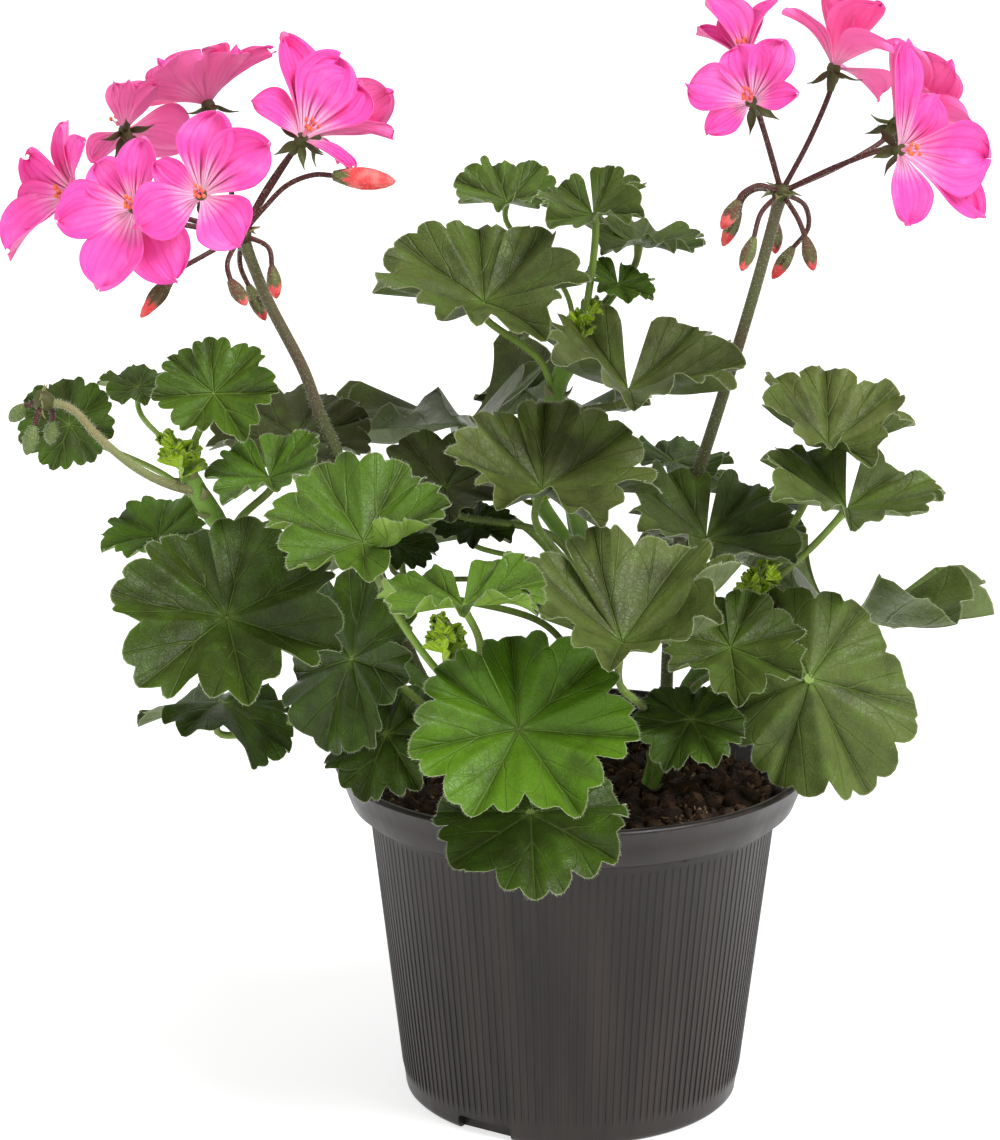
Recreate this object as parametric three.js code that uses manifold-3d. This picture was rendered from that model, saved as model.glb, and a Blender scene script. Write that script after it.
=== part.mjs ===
// A potted pelargonium: a plastic grow pot, its compost, branching stems,
// scalloped leaves on long petioles and two umbels of pink flowers.
// Millimetres, +Z up. The origin is on the pot's axis, at the surface it stands on,
// and the plant is seen from the front when looking along +Y.
import * as THREE from 'three';
import { ParametricGeometry } from 'three/addons/geometries/ParametricGeometry.js';
import { mergeVertices } from 'three/addons/utils/BufferGeometryUtils.js';
import Module from 'manifold-3d';

const wasm = await Module();
wasm.setup();

// Pot
const POT_HEIGHT = 95;
const POT_FOOT_RADIUS = 46;
const POT_FOOT_ROUNDING = 2;
const POT_NECK_RADIUS = 55.5;
const POT_NECK_DROP = 1;
const LIP_RADIUS = 65;
const LIP_LOWER_RADIUS = 60.5;
const LIP_HEIGHT = 11.5;
const LIP_WIDTH = 2.6;
const LIP_FILLET = 3;
const POT_WALL = 1.4;
const POT_SIDES = 30;
const COMPOST_SIDES = 20;
const CHANNEL_INNER = 24;
const CHANNEL_OUTER = 40;
const CHANNEL_DEPTH = 4;
const CHANNEL_SLOPE = 1;
const DRAIN_HOLES = 6;
const DRAIN_RADIUS = 3.2;
const DRAIN_SIDES = 10;
const FOOT_NOTCHES = 3;
const NOTCH_WIDTH = 16.5;
const NOTCH_HEIGHT = 4.4;
const NOTCH_DEPTH = 8;
const FIRST_NOTCH_ANGLE = -122;

// Compost
const COMPOST_LEVEL = 85;
const MOUND_HEIGHT = 2.5;
const MOUND_SPACING = [7, 9, 13];
const MOUND_RINGS = [20, 38];

// Plant
const GAP = 0.3;
const LEAF_LOBES = 7;
const LEAF_THICKNESS = 0.7;
const PETIOLE_RADIUS = 1.15;
const PETAL_THICKNESS = 0.6;
const PETAL_START = 0.8;
const PEDICEL_BEND = 0.4;
const PEDICEL_RADIUS = 0.9;
const CALYX_RADIUS = 2.3;
const PEDUNCLE_RADIUS = 1.9;
const BUD_STALK_RADIUS = 0.75;
const BUD_RADIUS = 2.1;
const HUB_RADIUS = 3.2;
const HUB_BELOW = 0.2;
const CALYX_LENGTH = 6;

// The outline of a blade: its lobes, the shorter back and the notch at the petiole, each
// as a share of the radius and the power with which it sets in round the blade
const SINUS_HALF = THREE.MathUtils.degToRad(6);
const SINUS_RADIUS = 0.5;
const LOBE_DEPTH = 0.13;
const LOBE_POWER = 3;
const LOBE_FADE = 8;
const BACK_SHORTER = 0.16;
const BACK_POWER = 1.6;
const BACK_ROUNDING = 0.3;
const BACK_ROUNDING_POWER = 14;

// How a blade bends, in degrees: the pleat at each vein, the ruffle, whose waves are how
// many go round and the share of each, and the curl of the lobes beside the petiole
const PLEAT = 7;
const RUFFLE = 6.5;
const RUFFLE_POWER = 1.2;
const WAVES = [[2, 0.9], [3, 0.9], [4, 0.9], [5, 0.7], [6, 0.7]];
const LEAST_WAVE = 0.7;
const WAVE_RANGE = 0.6;
const CURL_SPREAD = THREE.MathUtils.degToRad(95);
const CURL_START = 0.6;
const INWARD_POWER = 0.8;
const VEIN_STEPS = 8;

// The shape of a petal, in shares of its length and width
const PETAL_WIDEST = 0.62;
const PETAL_CLAW = 0.13;
const PETAL_SWELL = 1.5;
const PETAL_SHOULDER = 1.2;
const PETAL_ARCH = 0.08;
const PETAL_CUP = 0.35;
const PETAL_ROW_POWER = 0.7;

// A bud's or calyx's outline: its radius and its place along, in shares
const BUD_OUTLINE = [[0, -0.12], [0.8, 0.12], [1, 0.5], [0, 1]];

// How far a petiole follows its stem and then the blade's underside, in shares
const PETIOLE_LEAVING = 0.25;
const PETIOLE_ARRIVING = 0.22;

// Facets, the step between their corners under which two are one, and the finest step kept
const SAME_POINT = 0.001;
const SMALLEST_STEP = 0.002;
const CLEARANCE = 1.25;
const STEM_SIDES = 7;
const STALK_SIDES = 5;
const PETIOLE_SIDES = 4;
const SMALL_LEAF = 25;
const STEM_SPACING = 14;
const PETIOLE_SPACING = 18;
const BUD_SPACING = 10;
const LEAF_ROWS = 2;
const PETAL_COLUMNS = 2;
const PETAL_ROWS = 3;
const NORMAL_STEP = 0.01;

const FINISH = {
  pot: { color: 0x3d3a38, roughness: 0.45, metalness: 0 },
  compost: { color: 0x2a1d14, roughness: 0.95, metalness: 0 },
  stem: { color: 0x6f8a3a, roughness: 0.6, metalness: 0 },
  peduncle: { color: 0x6b5a48, roughness: 0.6, metalness: 0 },
  leaf: { color: 0x4a6b2a, roughness: 0.65, metalness: 0 },
  flower: { color: 0xf468bd, roughness: 0.5, metalness: 0 },
};

// Stems, each a bent tube from the compost outwards: radius, then the points it passes.
const STEMS = {
  stem_centre: [2.6, [[4, 8, 80], [6, 12, 120], [3, 10, 150], [-4, 5, 180], [-5, 5, 194], [2, 12, 209]]],
  stem_left: [2.5,
    [[-12, 2, 80], [-34, -8, 112], [-62, -22, 138], [-82, -32, 152], [-92, -36, 169], [-101, -37, 184]]],
  stem_front: [2.3, [[-10, -20, 80], [-18, -38, 100], [-25, -50, 114], [-29, -57, 128], [-33, -61, 142]]],
  stem_right: [2.5, [[18, -6, 80], [28, -9, 110], [38, -12, 130], [48, -15, 145]]],
  stem_back: [2.3, [[2, 30, 80], [6, 36, 112], [2, 40, 138], [-10, 40, 158]]],
};

// Leaves: where the petiole meets the blade, the blade's radius along its midrib, the
// midrib's heading and rise and the blade's roll about it in degrees, and how it bends.
// on: the stem that carries it and how far along, as a share of that stem's length.
const LEAVES = [
  leaf('top_left', [-18, 31, 242], 16, 105, 18, -4, { cup: 19, bend: 1, seed: 3 }, ['stem_centre', 0.97]),
  leaf('top_right', [5, 14, 241], 18, -87, -22, 10, { cup: 26, bend: 0, seed: 5 }, ['stem_centre', 0.98]),
  leaf('top_back', [18, 34, 230], 19, 28, -6, 7, { cup: 8, bend: 4, seed: 7 }, ['stem_centre', 0.93]),
  leaf('upper_left', [-24, 0, 220], 32, -112, -22, -7, { cup: 24, bend: 0, seed: 2 },
    ['stem_centre', 0.86]),
  leaf('upper_small', [12, 20, 221], 11, -79, -26, -12, { cup: 22, bend: -5, seed: 4 },
    ['stem_centre', 0.95]),
  leaf('upper_right', [14, -6, 198], 34, -92, -12, -10, { cup: 22, bend: 5, seed: 8 },
    ['stem_centre', 0.78]),
  leaf('back_big', [-30, 40, 178], 40, 177, 7, 19, { cup: 3, bend: -3, seed: 9, curl: 78 },
    ['stem_back', 0.97]),
  leaf('dark_left', [-74, 6, 182], 25, -178, 0, -17, { cup: 9, bend: -2, seed: 11 }, ['stem_back', 0.6]),
  leaf('left_top', [-93, -34, 203], 18, -51, -38, 24, { cup: 17, bend: 3, seed: 12 },
    ['stem_left', 0.97]),
  leaf('left_back', [-116, 2, 197], 11, -175, 0, -15, { cup: 9, bend: -1, seed: 13 },
    ['stem_left', 0.93]),
  leaf('far_left', [-131, -26, 193], 14, 166, 30, -54, { cup: 6, bend: -6, seed: 14 },
    ['stem_left', 0.9]),
  leaf('left_small', [-109, -22, 162], 16, 137, 4, -22, { cup: 19, bend: -5, seed: 15 },
    ['stem_left', 0.74]),
  leaf('left_mid', [-79, -35, 181], 18, -77, -16, 18, { cup: 22, bend: 0, seed: 16 },
    ['stem_left', 0.83]),
  leaf('front_left', [-54, -66, 172], 26, 120, 22, -15, { cup: 17, bend: 3, seed: 17 },
    ['stem_front', 0.8],
    [[-40, -61, 143], [-48, -64, 157]]),
  leaf('left_low', [-89, -57, 150], 33, -74, -38, 8, { cup: 14, bend: 3, seed: 18 }, ['stem_left', 0.5]),
  leaf('left_low_2', [-58, -40, 134], 27, 140, -22, -69, { cup: 5, bend: -5, seed: 19 },
    ['stem_front', 0.5]),
  leaf('low_left', [-93, -22, 117], 24, -112, 2, -10, { cup: -6, bend: -8, seed: 20, fold: -14 },
    ['stem_left', 0.2]),
  leaf('low_left_2', [-49, -44, 115], 19, -126, -44, -4, { cup: 1, bend: -5, seed: 21 },
    ['stem_front', 0.25]),
  leaf('mid_left', [-34, -12, 173], 23, 170, -2, -19, { cup: 12, bend: 0, seed: 22 },
    ['stem_centre', 0.46]),
  leaf('mid_low', [-27, 2, 159], 13, -90, -18, -5, { cup: 11, bend: 0, seed: 37 }, ['stem_centre', 0.4]),
  leaf('mid_left_2', [-48, 6, 153], 13, -104, -18, -8, { cup: 6, bend: -6, seed: 23 },
    ['stem_back', 0.45]),
  leaf('centre', [-9, -27, 176], 32, -63, -24, 0, { cup: 23, bend: 3, seed: 24 }, ['stem_centre', 0.3]),
  leaf('centre_right', [35, -9, 158], 29, -92, -18, -16, { cup: 22, bend: 2, seed: 25 },
    ['stem_right', 0.7]),
  leaf('behind_right', [28, 30, 170], 17, 57, -3, 9, { cup: 9, bend: -2, seed: 26 }, ['stem_back', 0.35]),
  leaf('front_centre', [11, -63, 145], 38, -45, -15, 9, { cup: 28, bend: 5, seed: 27 },
    ['stem_right', 0.1]),
  leaf('below_centre', [40, -36, 136], 22, -87, -27, -1, { cup: 10, bend: 2, seed: 28 },
    ['stem_right', 0.4]),
  leaf('right_top', [67, -6, 183], 26, 92, 16, 8, { cup: 30, bend: 0, seed: 29 }, ['stem_right', 0.95]),
  leaf('right_mid', [71, -20, 169], 28, -96, -12, -10, { cup: 23, bend: 0, seed: 30 },
    ['stem_right', 0.93],
    [[55, -17, 151], [63, -18, 159]]),
  leaf('right_fold', [76, 22, 127], 41, 3, 7, -17, { cup: 0, bend: 5, seed: 33, curl: 70 },
    ['stem_right', 0.35]),
  leaf('right_droop', [61, -34, 127], 36, -30, -48, 38,
    { cup: -16, bend: -2, seed: 32, twist: 18, wide: 0.76 },
    ['stem_right', 0.55]),
  leaf('young_pair', [-29, -75, 158], 23, -90, -5, 4, { cup: 20, bend: -2, seed: 33 },
    ['stem_front', 0.65],
    [[-25, -64, 136], [-25, -70, 148]]),
  leaf('front_low', [-15, -78, 127], 31, -53, -36, 24, { cup: 11, bend: 3, seed: 34 },
    ['stem_front', 0.35]),
  leaf('rim_leaf', [-12, -70, 102], 27, -88, -24, 2, { cup: 1, bend: -3, seed: 35 }, ['stem_front', 0.25],
    [[-14, -48, 99], [-13, -60, 101]]),
  leaf('small_right', [30, -38, 117], 16, -124, -29, -15, { cup: 2, bend: -6, seed: 36 },
    ['stem_right', 0.2]),
  leaf('back_low_left', [-48, 52, 138], 27, 130, -25, 0, { cup: 12, bend: -4, seed: 41 },
    ['stem_back', 0.3]),
  leaf('back_low_right', [42, 56, 136], 26, 55, -22, 0, { cup: 10, bend: -4, seed: 42 },
    ['stem_back', 0.2]),
  leaf('back_mid', [-2, 62, 176], 28, 85, -18, 0, { cup: 14, bend: -2, seed: 43 }, ['stem_back', 0.7]),
  leaf('back_right', [52, 34, 158], 22, 40, -10, 0, { cup: 12, bend: -3, seed: 44 }, ['stem_back', 0.55]),
];

// Peduncles: the stalk's points, then stalks of buds, the last two points of each being
// the bud's base and tip.
const PEDUNCLES = {
  peduncle_left: {
    on: ['stem_left', 0.35],
    stalk: [
      [-57, -8, 162], [-63, -8, 182], [-67, -10, 192], [-71, -14, 205], [-80, -19, 225], [-86, -22, 242],
    ],
    buds: [
      [[-80, -23, 249], [-74, -24, 255], [-67, -26, 258], [-61, -28, 258], [-46, -31, 257]],
      [[-95, -30, 238], [-101, -34, 235], [-103, -35, 233], [-111, -36, 223]],
      [[-89, -32, 236], [-88, -34, 232], [-84, -35, 226]],
      [[-87, -13, 232], [-85, -10, 226], [-81, -9, 217]],
      [[-79, -24, 239], [-78, -26, 234], [-77, -26, 226]],
    ],
  },
  peduncle_right: {
    on: ['stem_right', 0.3],
    stalk: [[27, 8, 140], [31, 10, 164], [35, 6, 178], [39, 2, 193], [47, -6, 225], [53, -10, 251]],
    buds: [
      [[46, -18, 254], [42, -20, 252], [41, -20, 250], [37, -20, 243]],
      [[47, 1, 250], [44, 4, 247], [43, 5, 243], [39, 6, 234]],
      [[47, -20, 247], [45, -24, 241], [42, -25, 233]],
      [[52, 2, 246], [53, 6, 240], [53, 6, 232]],
      [[60, -2, 246], [61, 0, 240], [57, 2, 234], [52, 2, 226]],
      [[57, -16, 245], [59, -18, 240], [61, -19, 232]],
    ],
  },
  peduncle_buds: {
    on: ['stem_left', 0.95],
    stalk: [[-104, -42, 181], [-112, -45, 186], [-121, -46, 194], [-128, -47, 202], [-135, -47, 204]],
    buds: [
      [[-138, -46, 203], [-140, -45, 202], [-144, -44, 198]],
      [[-136, -50, 201], [-137, -51, 198], [-139, -52, 191]],
      [[-133, -46, 201], [-133, -45, 198], [-134, -44, 192]],
    ],
  },
};

// Flowers: throat, the way the flower faces, the umbel that carries it, and for each
// petal the offset of its tip from the throat and its width as a share of its length.
const FLOWERS = [
  flower('left_1', [-70, -24, 267], [0.45, -0.55, 0.7], 'peduncle_left',
    [[-5, 10, 25, 0.48], [9, 10, 19, 0.7], [14, 10, 13, 0.9], [-12, -4, 10, 0.8], [13, -4, -7, 0.35]]),
  flower('left_2', [-96, 4, 272], [-0.3, 0.5, 0.8], 'peduncle_left',
    [[0, -14, 15, 0.9], [17, -2, 14, 0.46], [9, -10, 15, 0.7], [-20, -6, 1, 0.74], [-11, -14, 12, 0.72]]),
  flower('left_3', [-94, -46, 256], [-0.05, -0.95, 0.3], 'peduncle_left',
    [[4, 2, 20, 0.7], [17, -2, 13, 0.76], [-11, 0, 8, 0.62], [-16, -6, -7, 0.84], [10, -8, -11, 0.95]]),
  flower('left_4', [-111, -42, 252], [-0.2, -0.9, 0.4], 'peduncle_left',
    [[-10, 4, 11, 0.74], [2, 3, 17, 0.62], [-19, -2, -3, 0.82], [-8, -12, -18, 0.7], [11, -11, -16, 0.74]]),
  flower('left_5', [-127, -26, 253], [-0.9, -0.35, 0.15], 'peduncle_left',
    [[-4, 8, 17, 0.6], [-14, 10, 8, 0.7], [3, -10, 15, 0.7], [-16, 8, -6, 0.7], [-18, -2, -15, 0.85]]),
  flower('left_6', [-117, -4, 266], [-0.35, 0.8, 0.45], 'peduncle_left',
    [[-2, -4, 13, 0.4], [-9, 4, -8, 0.7], [8, 0, 12, 0.7], [16, 12, -6, 0.85], [2, -3, 13, 0.6]]),
  flower('left_7', [-68, 2, 264], [0.8, 0.3, 0.5], 'peduncle_left',
    [[20, 2, 11, 0.7], [20, 0, 0, 0.35], [7, -4, 18, 0.7], [-4, 2, 20, 0.7], [6, 6, -8, 0.6]]),
  flower('right_1', [44, -24, 276], [-0.3, -0.8, 0.5], 'peduncle_right',
    [[-3, 6, 14, 0.85], [8, 2, 15, 0.75], [-16, 4, 4, 0.78], [-11, -4, -7, 0.66], [11, -6, 3, 0.6]]),
  flower('right_2', [44, 0, 283], [-0.25, 0.1, 0.95], 'peduncle_right',
    [[-10, 6, 16, 0.8], [8, 6, 16, 0.7], [-12, 10, 7, 0.5], [-2, 13, 12, 0.7], [9, 12, 2, 0.6]]),
  flower('right_3', [66, -8, 283], [0.15, 0.15, 1.0], 'peduncle_right',
    [[-13, -5, 15, 0.42], [-3, 0, 19, 0.8], [10, -6, 17, 0.95], [14, -14, 7, 0.85], [13, 12, -9, 0.7]]),
  flower('right_4', [84, 10, 266], [0.5, 0.6, 0.6], 'peduncle_right',
    [[2, -5, 22, 0.6], [13, -7, 17, 0.8], [10, -10, 8, 0.7], [20, -5, 0, 0.7], [4, 14, 7, 0.5]]),
  flower('right_5', [81, -30, 265], [0.55, -0.8, 0.1], 'peduncle_right',
    [[0, -5, 27, 0.36], [9, 4, 13, 0.85], [23, 5, -3, 0.82], [2, -6, -18, 0.72], [21, 2, -17, 0.4]]),
];

function leaf(name, at, length, heading, rise, roll, shape, on, via = null) {
  return { name: `leaf_${name}`, at, length, heading, rise, roll, on, via, ...shape };
}

function flower(name, throat, face, umbel, petals) {
  return { name: `flower_${name}`, throat, face, umbel, petals };
}

const radians = THREE.MathUtils.degToRad;
const vector = (p) => new THREE.Vector3(...p);

// A closed three.js geometry as a solid that can be joined and cut.
function toSolid(geometry) {
  const bare = new THREE.BufferGeometry();
  bare.setAttribute('position', geometry.getAttribute('position').clone());
  if (geometry.index) {
    bare.setIndex(geometry.index.clone());
  }
  const welded = mergeVertices(bare, SAME_POINT);
  const index = welded.index.array;
  const triangles = [];
  for (let i = 0; i < index.length; i += 3) {
    const [a, b, c] = [index[i], index[i + 1], index[i + 2]];
    if (a !== b && b !== c && c !== a) {
      triangles.push(a, b, c);
    }
  }
  const position = Float32Array.from(welded.getAttribute('position').array);
  const build = (order) => new wasm.Manifold(
    new wasm.Mesh({ numProp: 3, vertProperties: position, triVerts: Uint32Array.from(order) }));
  const solid = build(triangles);
  if (solid.volume() > 0) {
    return solid;
  }
  return build(triangles.reverse());
}

// The largest connected piece of a solid.
function largest(solid) {
  const pieces = solid.decompose();
  return pieces.reduce((best, piece) => (piece.volume() > best.volume() ? piece : best));
}

function boxesMeet(a, b) {
  const p = a.boundingBox();
  const q = b.boundingBox();
  return [0, 1, 2].every((k) => p.min[k] < q.max[k] && q.min[k] < p.max[k]);
}

function cut(solid, cutters) {
  return cutters.reduce((rest, cutter) => (boxesMeet(rest, cutter) ? rest.subtract(cutter) : rest), solid);
}

function toGeometry(solid) {
  const { vertProperties, triVerts } = solid.getMesh();
  const geometry = new THREE.BufferGeometry();
  const snapped = vertProperties.map((x) => Math.round(x / SMALLEST_STEP) * SMALLEST_STEP);
  geometry.setAttribute('position', new THREE.BufferAttribute(snapped, 3));
  geometry.setIndex(new THREE.BufferAttribute(triVerts, 1));
  return geometry;
}

// The solid with vertices that all but touch made one, and the crumbs this frees left out.
function settled(solid) {
  return largest(toSolid(toGeometry(largest(solid))));
}

function toMesh(name, solid, finish) {
  const geometry = toGeometry(solid);
  geometry.computeVertexNormals();
  const mesh = new THREE.Mesh(geometry, new THREE.MeshStandardMaterial(finish));
  mesh.name = name;
  return mesh;
}

// A round stalk of one radius along a smooth line through the points.
function stalk(points, radius, sides, spacing) {
  const line = new THREE.CatmullRomCurve3(points.map(vector));
  const steps = Math.max(2, Math.round(line.getLength() / spacing));
  const ring = [];
  for (let i = 0; i < sides; i += 1) {
    const angle = (2 * Math.PI * i) / sides;
    ring.push(new THREE.Vector2(radius * Math.cos(angle), radius * Math.sin(angle)));
  }
  const section = new THREE.Shape(ring);
  return toSolid(new THREE.ExtrudeGeometry(section, { steps, extrudePath: line, curveSegments: 1 }));
}

// A pointed bud or calyx between two points.
function bud(from, to, radius, sides) {
  const axis = vector(to).sub(vector(from));
  const length = axis.length();
  const profile = BUD_OUTLINE.map(([r, y]) => new THREE.Vector2(r * radius, y * length));
  const geometry = new THREE.LatheGeometry(profile, sides);
  geometry.applyQuaternion(new THREE.Quaternion().setFromUnitVectors(
    new THREE.Vector3(0, 1, 0), axis.normalize()));
  geometry.translate(...from);
  return toSolid(geometry);
}

// A thin closed blade: two skins, half a thickness each side of the middle surface, that
// meet at the blade's edge. place(u, v) gives the middle surface for u and v from 0 to 1.
// A leaf's skins run from its centre and go right round it: centreNormal is the one there.
function blade(place, columns, rows, thickness, centreNormal = null) {
  const normalAt = (u, v) => {
    const [left, right] = [Math.max(u - NORMAL_STEP, 0), Math.min(u + NORMAL_STEP, 1)];
    const [inner, outer] = [Math.max(v - NORMAL_STEP, 0), Math.min(v + NORMAL_STEP, 1)];
    const across = place(right, v).sub(place(left, v));
    const along = place(u, outer).sub(place(u, inner));
    return across.cross(along).normalize();
  };
  const skins = (u, w, target) => {
    const v = 1 - Math.abs(2 * w - 1);
    const centre = centreNormal && v < NORMAL_STEP;
    const sideEdge = !centreNormal && (u < NORMAL_STEP || u > 1 - NORMAL_STEP);
    const rowEdge = v > 1 - NORMAL_STEP || (!centreNormal && v < NORMAL_STEP);
    target.copy(place(u, v));
    if (!sideEdge && !rowEdge) {
      const normal = centre ? centreNormal : normalAt(centreNormal && u > 1 - NORMAL_STEP ? 0 : u, v);
      target.addScaledVector(normal, (w < 0.5 ? 0.5 : -0.5) * thickness);
    }
  };
  const geometry = new ParametricGeometry(skins, columns, rows * 2);
  geometry.setIndex(matchedTriangles(columns, rows));
  return toSolid(geometry);
}

// The triangles of a blade's two skins. Both are split along the same diagonals, so that
// they stay one thickness apart where the blade is twisted.
function matchedTriangles(columns, rows) {
  const triangles = [];
  for (let row = 0; row < 2 * rows; row += 1) {
    for (let column = 0; column < columns; column += 1) {
      const a = row * (columns + 1) + column;
      const [b, c, d] = [a + 1, a + columns + 2, a + columns + 1];
      if (row < rows) {
        triangles.push(a, b, d, b, c, d);
      } else {
        triangles.push(a, b, c, a, c, d);
      }
    }
  }
  return triangles;
}

// A leaf's midrib, the side of it and its upper face, as directions.
function bladeAxes({ heading, rise, roll }) {
  const midrib = new THREE.Vector3(
    Math.cos(radians(rise)) * Math.cos(radians(heading)),
    Math.cos(radians(rise)) * Math.sin(radians(heading)),
    Math.sin(radians(rise)));
  const up = new THREE.Vector3(0, 0, 1);
  const face = up.addScaledVector(midrib, -midrib.z).normalize().applyAxisAngle(midrib, radians(roll));
  const side = new THREE.Vector3().crossVectors(face, midrib);
  return { midrib, side, face };
}

// Relative radius of a blade with seven scalloped lobes and a notch at the petiole.
function outline(angle) {
  const share = angle / (Math.PI - SINUS_HALF);
  if (Math.abs(share) > 1) {
    return SINUS_RADIUS;
  }
  const base = 1 - BACK_SHORTER * ((1 - Math.cos(angle)) / 2) ** BACK_POWER;
  const lobe = ((share + 1) / 2) * LEAF_LOBES;
  const inLobe = Math.min(1, 2 * (lobe - Math.floor(Math.min(lobe, LEAF_LOBES - 1e-6))) - 1);
  const lobes = 1 - LOBE_DEPTH * Math.abs(inLobe) ** LOBE_POWER * (1 - Math.abs(share) ** LOBE_FADE);
  return base * lobes * (1 - BACK_ROUNDING * Math.abs(share) ** BACK_ROUNDING_POWER);
}

// A number from 0 to 1 that depends on a leaf's seed and on k, for its waves.
function chance(seed, k) {
  const value = Math.sin(seed * 12.9898 + k * 78.233) * 43758.5453;
  return value - Math.floor(value);
}

// A point of a leaf's middle surface. Each vein runs out from the petiole at its own
// angle and keeps its length while the blade cups, folds and ruffles.
function leafPoint(spec, u, v) {
  const { cup, bend, fold = 0, twist = 0, curl = 0, wide = 1, seed } = spec;
  const angle = (2 * u - 1) * Math.PI;
  const lobe = (angle / (Math.PI - SINUS_HALF) + 1) * (LEAF_LOBES / 2);
  let waves = 0;
  for (const [k, share] of WAVES) {
    const size = LEAST_WAVE + WAVE_RANGE * chance(seed, k + 10);
    waves += size * Math.sin(k * angle + 2 * Math.PI * chance(seed, k)) * share;
  }
  const fromSinus = Math.abs(Math.PI - Math.abs(angle)) / CURL_SPREAD;
  const curling = fromSinus < 1 ? curl * Math.cos((fromSinus * Math.PI) / 2) ** 2 : 0;
  let out = 0;
  let up = 0;
  for (let i = 0; i < VEIN_STEPS; i += 1) {
    const reach = (v * (i + 0.5)) / VEIN_STEPS;
    const lift = radians(cup + 2 * bend * reach - fold * Math.cos(2 * angle) + twist * Math.sin(angle)
      + RUFFLE * waves * reach ** RUFFLE_POWER
      - PLEAT * Math.cos(2 * Math.PI * (lobe - 0.5)) * Math.sin(Math.PI * reach ** INWARD_POWER)
      + curling * ((reach + CURL_START) / (1 + CURL_START)) ** INWARD_POWER);
    out += (Math.cos(lift) * v) / VEIN_STEPS;
    up += (Math.sin(lift) * v) / VEIN_STEPS;
  }
  const radius = spec.length * outline(angle) / outline(0);
  const { midrib, side, face } = bladeAxes(spec);
  return vector(spec.at)
    .addScaledVector(midrib, out * radius * Math.cos(angle))
    .addScaledVector(side, out * radius * Math.sin(angle) * wide)
    .addScaledVector(face, up * radius);
}

// A point of a petal's middle surface: u across, v from the throat to the tip.
function petalPoint(spec, petal, u, v) {
  const tip = vector(petal.slice(0, 3));
  const length = tip.length();
  const along = tip.clone().normalize();
  const reach = v ** PETAL_ROW_POWER;
  const faceDirection = vector(spec.face).normalize();
  const face = faceDirection.addScaledVector(along, -faceDirection.dot(along)).normalize();
  const side = new THREE.Vector3().crossVectors(face, along);
  const swell = Math.min(reach / PETAL_WIDEST, 1);
  const spread = reach < PETAL_WIDEST
    ? PETAL_CLAW + (1 - PETAL_CLAW) * swell ** PETAL_SWELL * (1 + PETAL_SHOULDER * (1 - swell))
    : Math.sqrt(Math.max(0, 1 - ((reach - PETAL_WIDEST) / (1 - PETAL_WIDEST)) ** 2));
  const halfWidth = (spread * petal[3] * length) / 2;
  const across = 2 * u - 1;
  const arch = PETAL_ARCH * length * 4 * reach * (1 - reach) + PETAL_CUP * halfWidth * across ** 2;
  return vector(spec.throat)
    .addScaledVector(along, PETAL_START + reach * (length - PETAL_START))
    .addScaledVector(side, halfWidth * across)
    .addScaledVector(face, arch);
}

// Where a stem is, at a share of its length, and the way it grows there.
function onStem([name, share]) {
  const line = new THREE.CatmullRomCurve3(STEMS[name][1].map(vector));
  return { point: line.getPointAt(share), growth: line.getTangentAt(share) };
}

// The points of a leaf's petiole, from inside its stem to the blade.
function petiolePoints(spec) {
  const { point, growth } = onStem(spec.on);
  const end = vector(spec.at);
  if (spec.via) {
    return [point.toArray(), ...spec.via, spec.at];
  }
  const { face } = bladeAxes(spec);
  const reach = point.distanceTo(end);
  const leaving = point.clone().addScaledVector(growth, PETIOLE_LEAVING * reach).lerp(end, PETIOLE_LEAVING);
  const arriving = end.clone().addScaledVector(face, -PETIOLE_ARRIVING * reach);
  return [point, leaving, arriving, end].map((p) => p.toArray());
}

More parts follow.
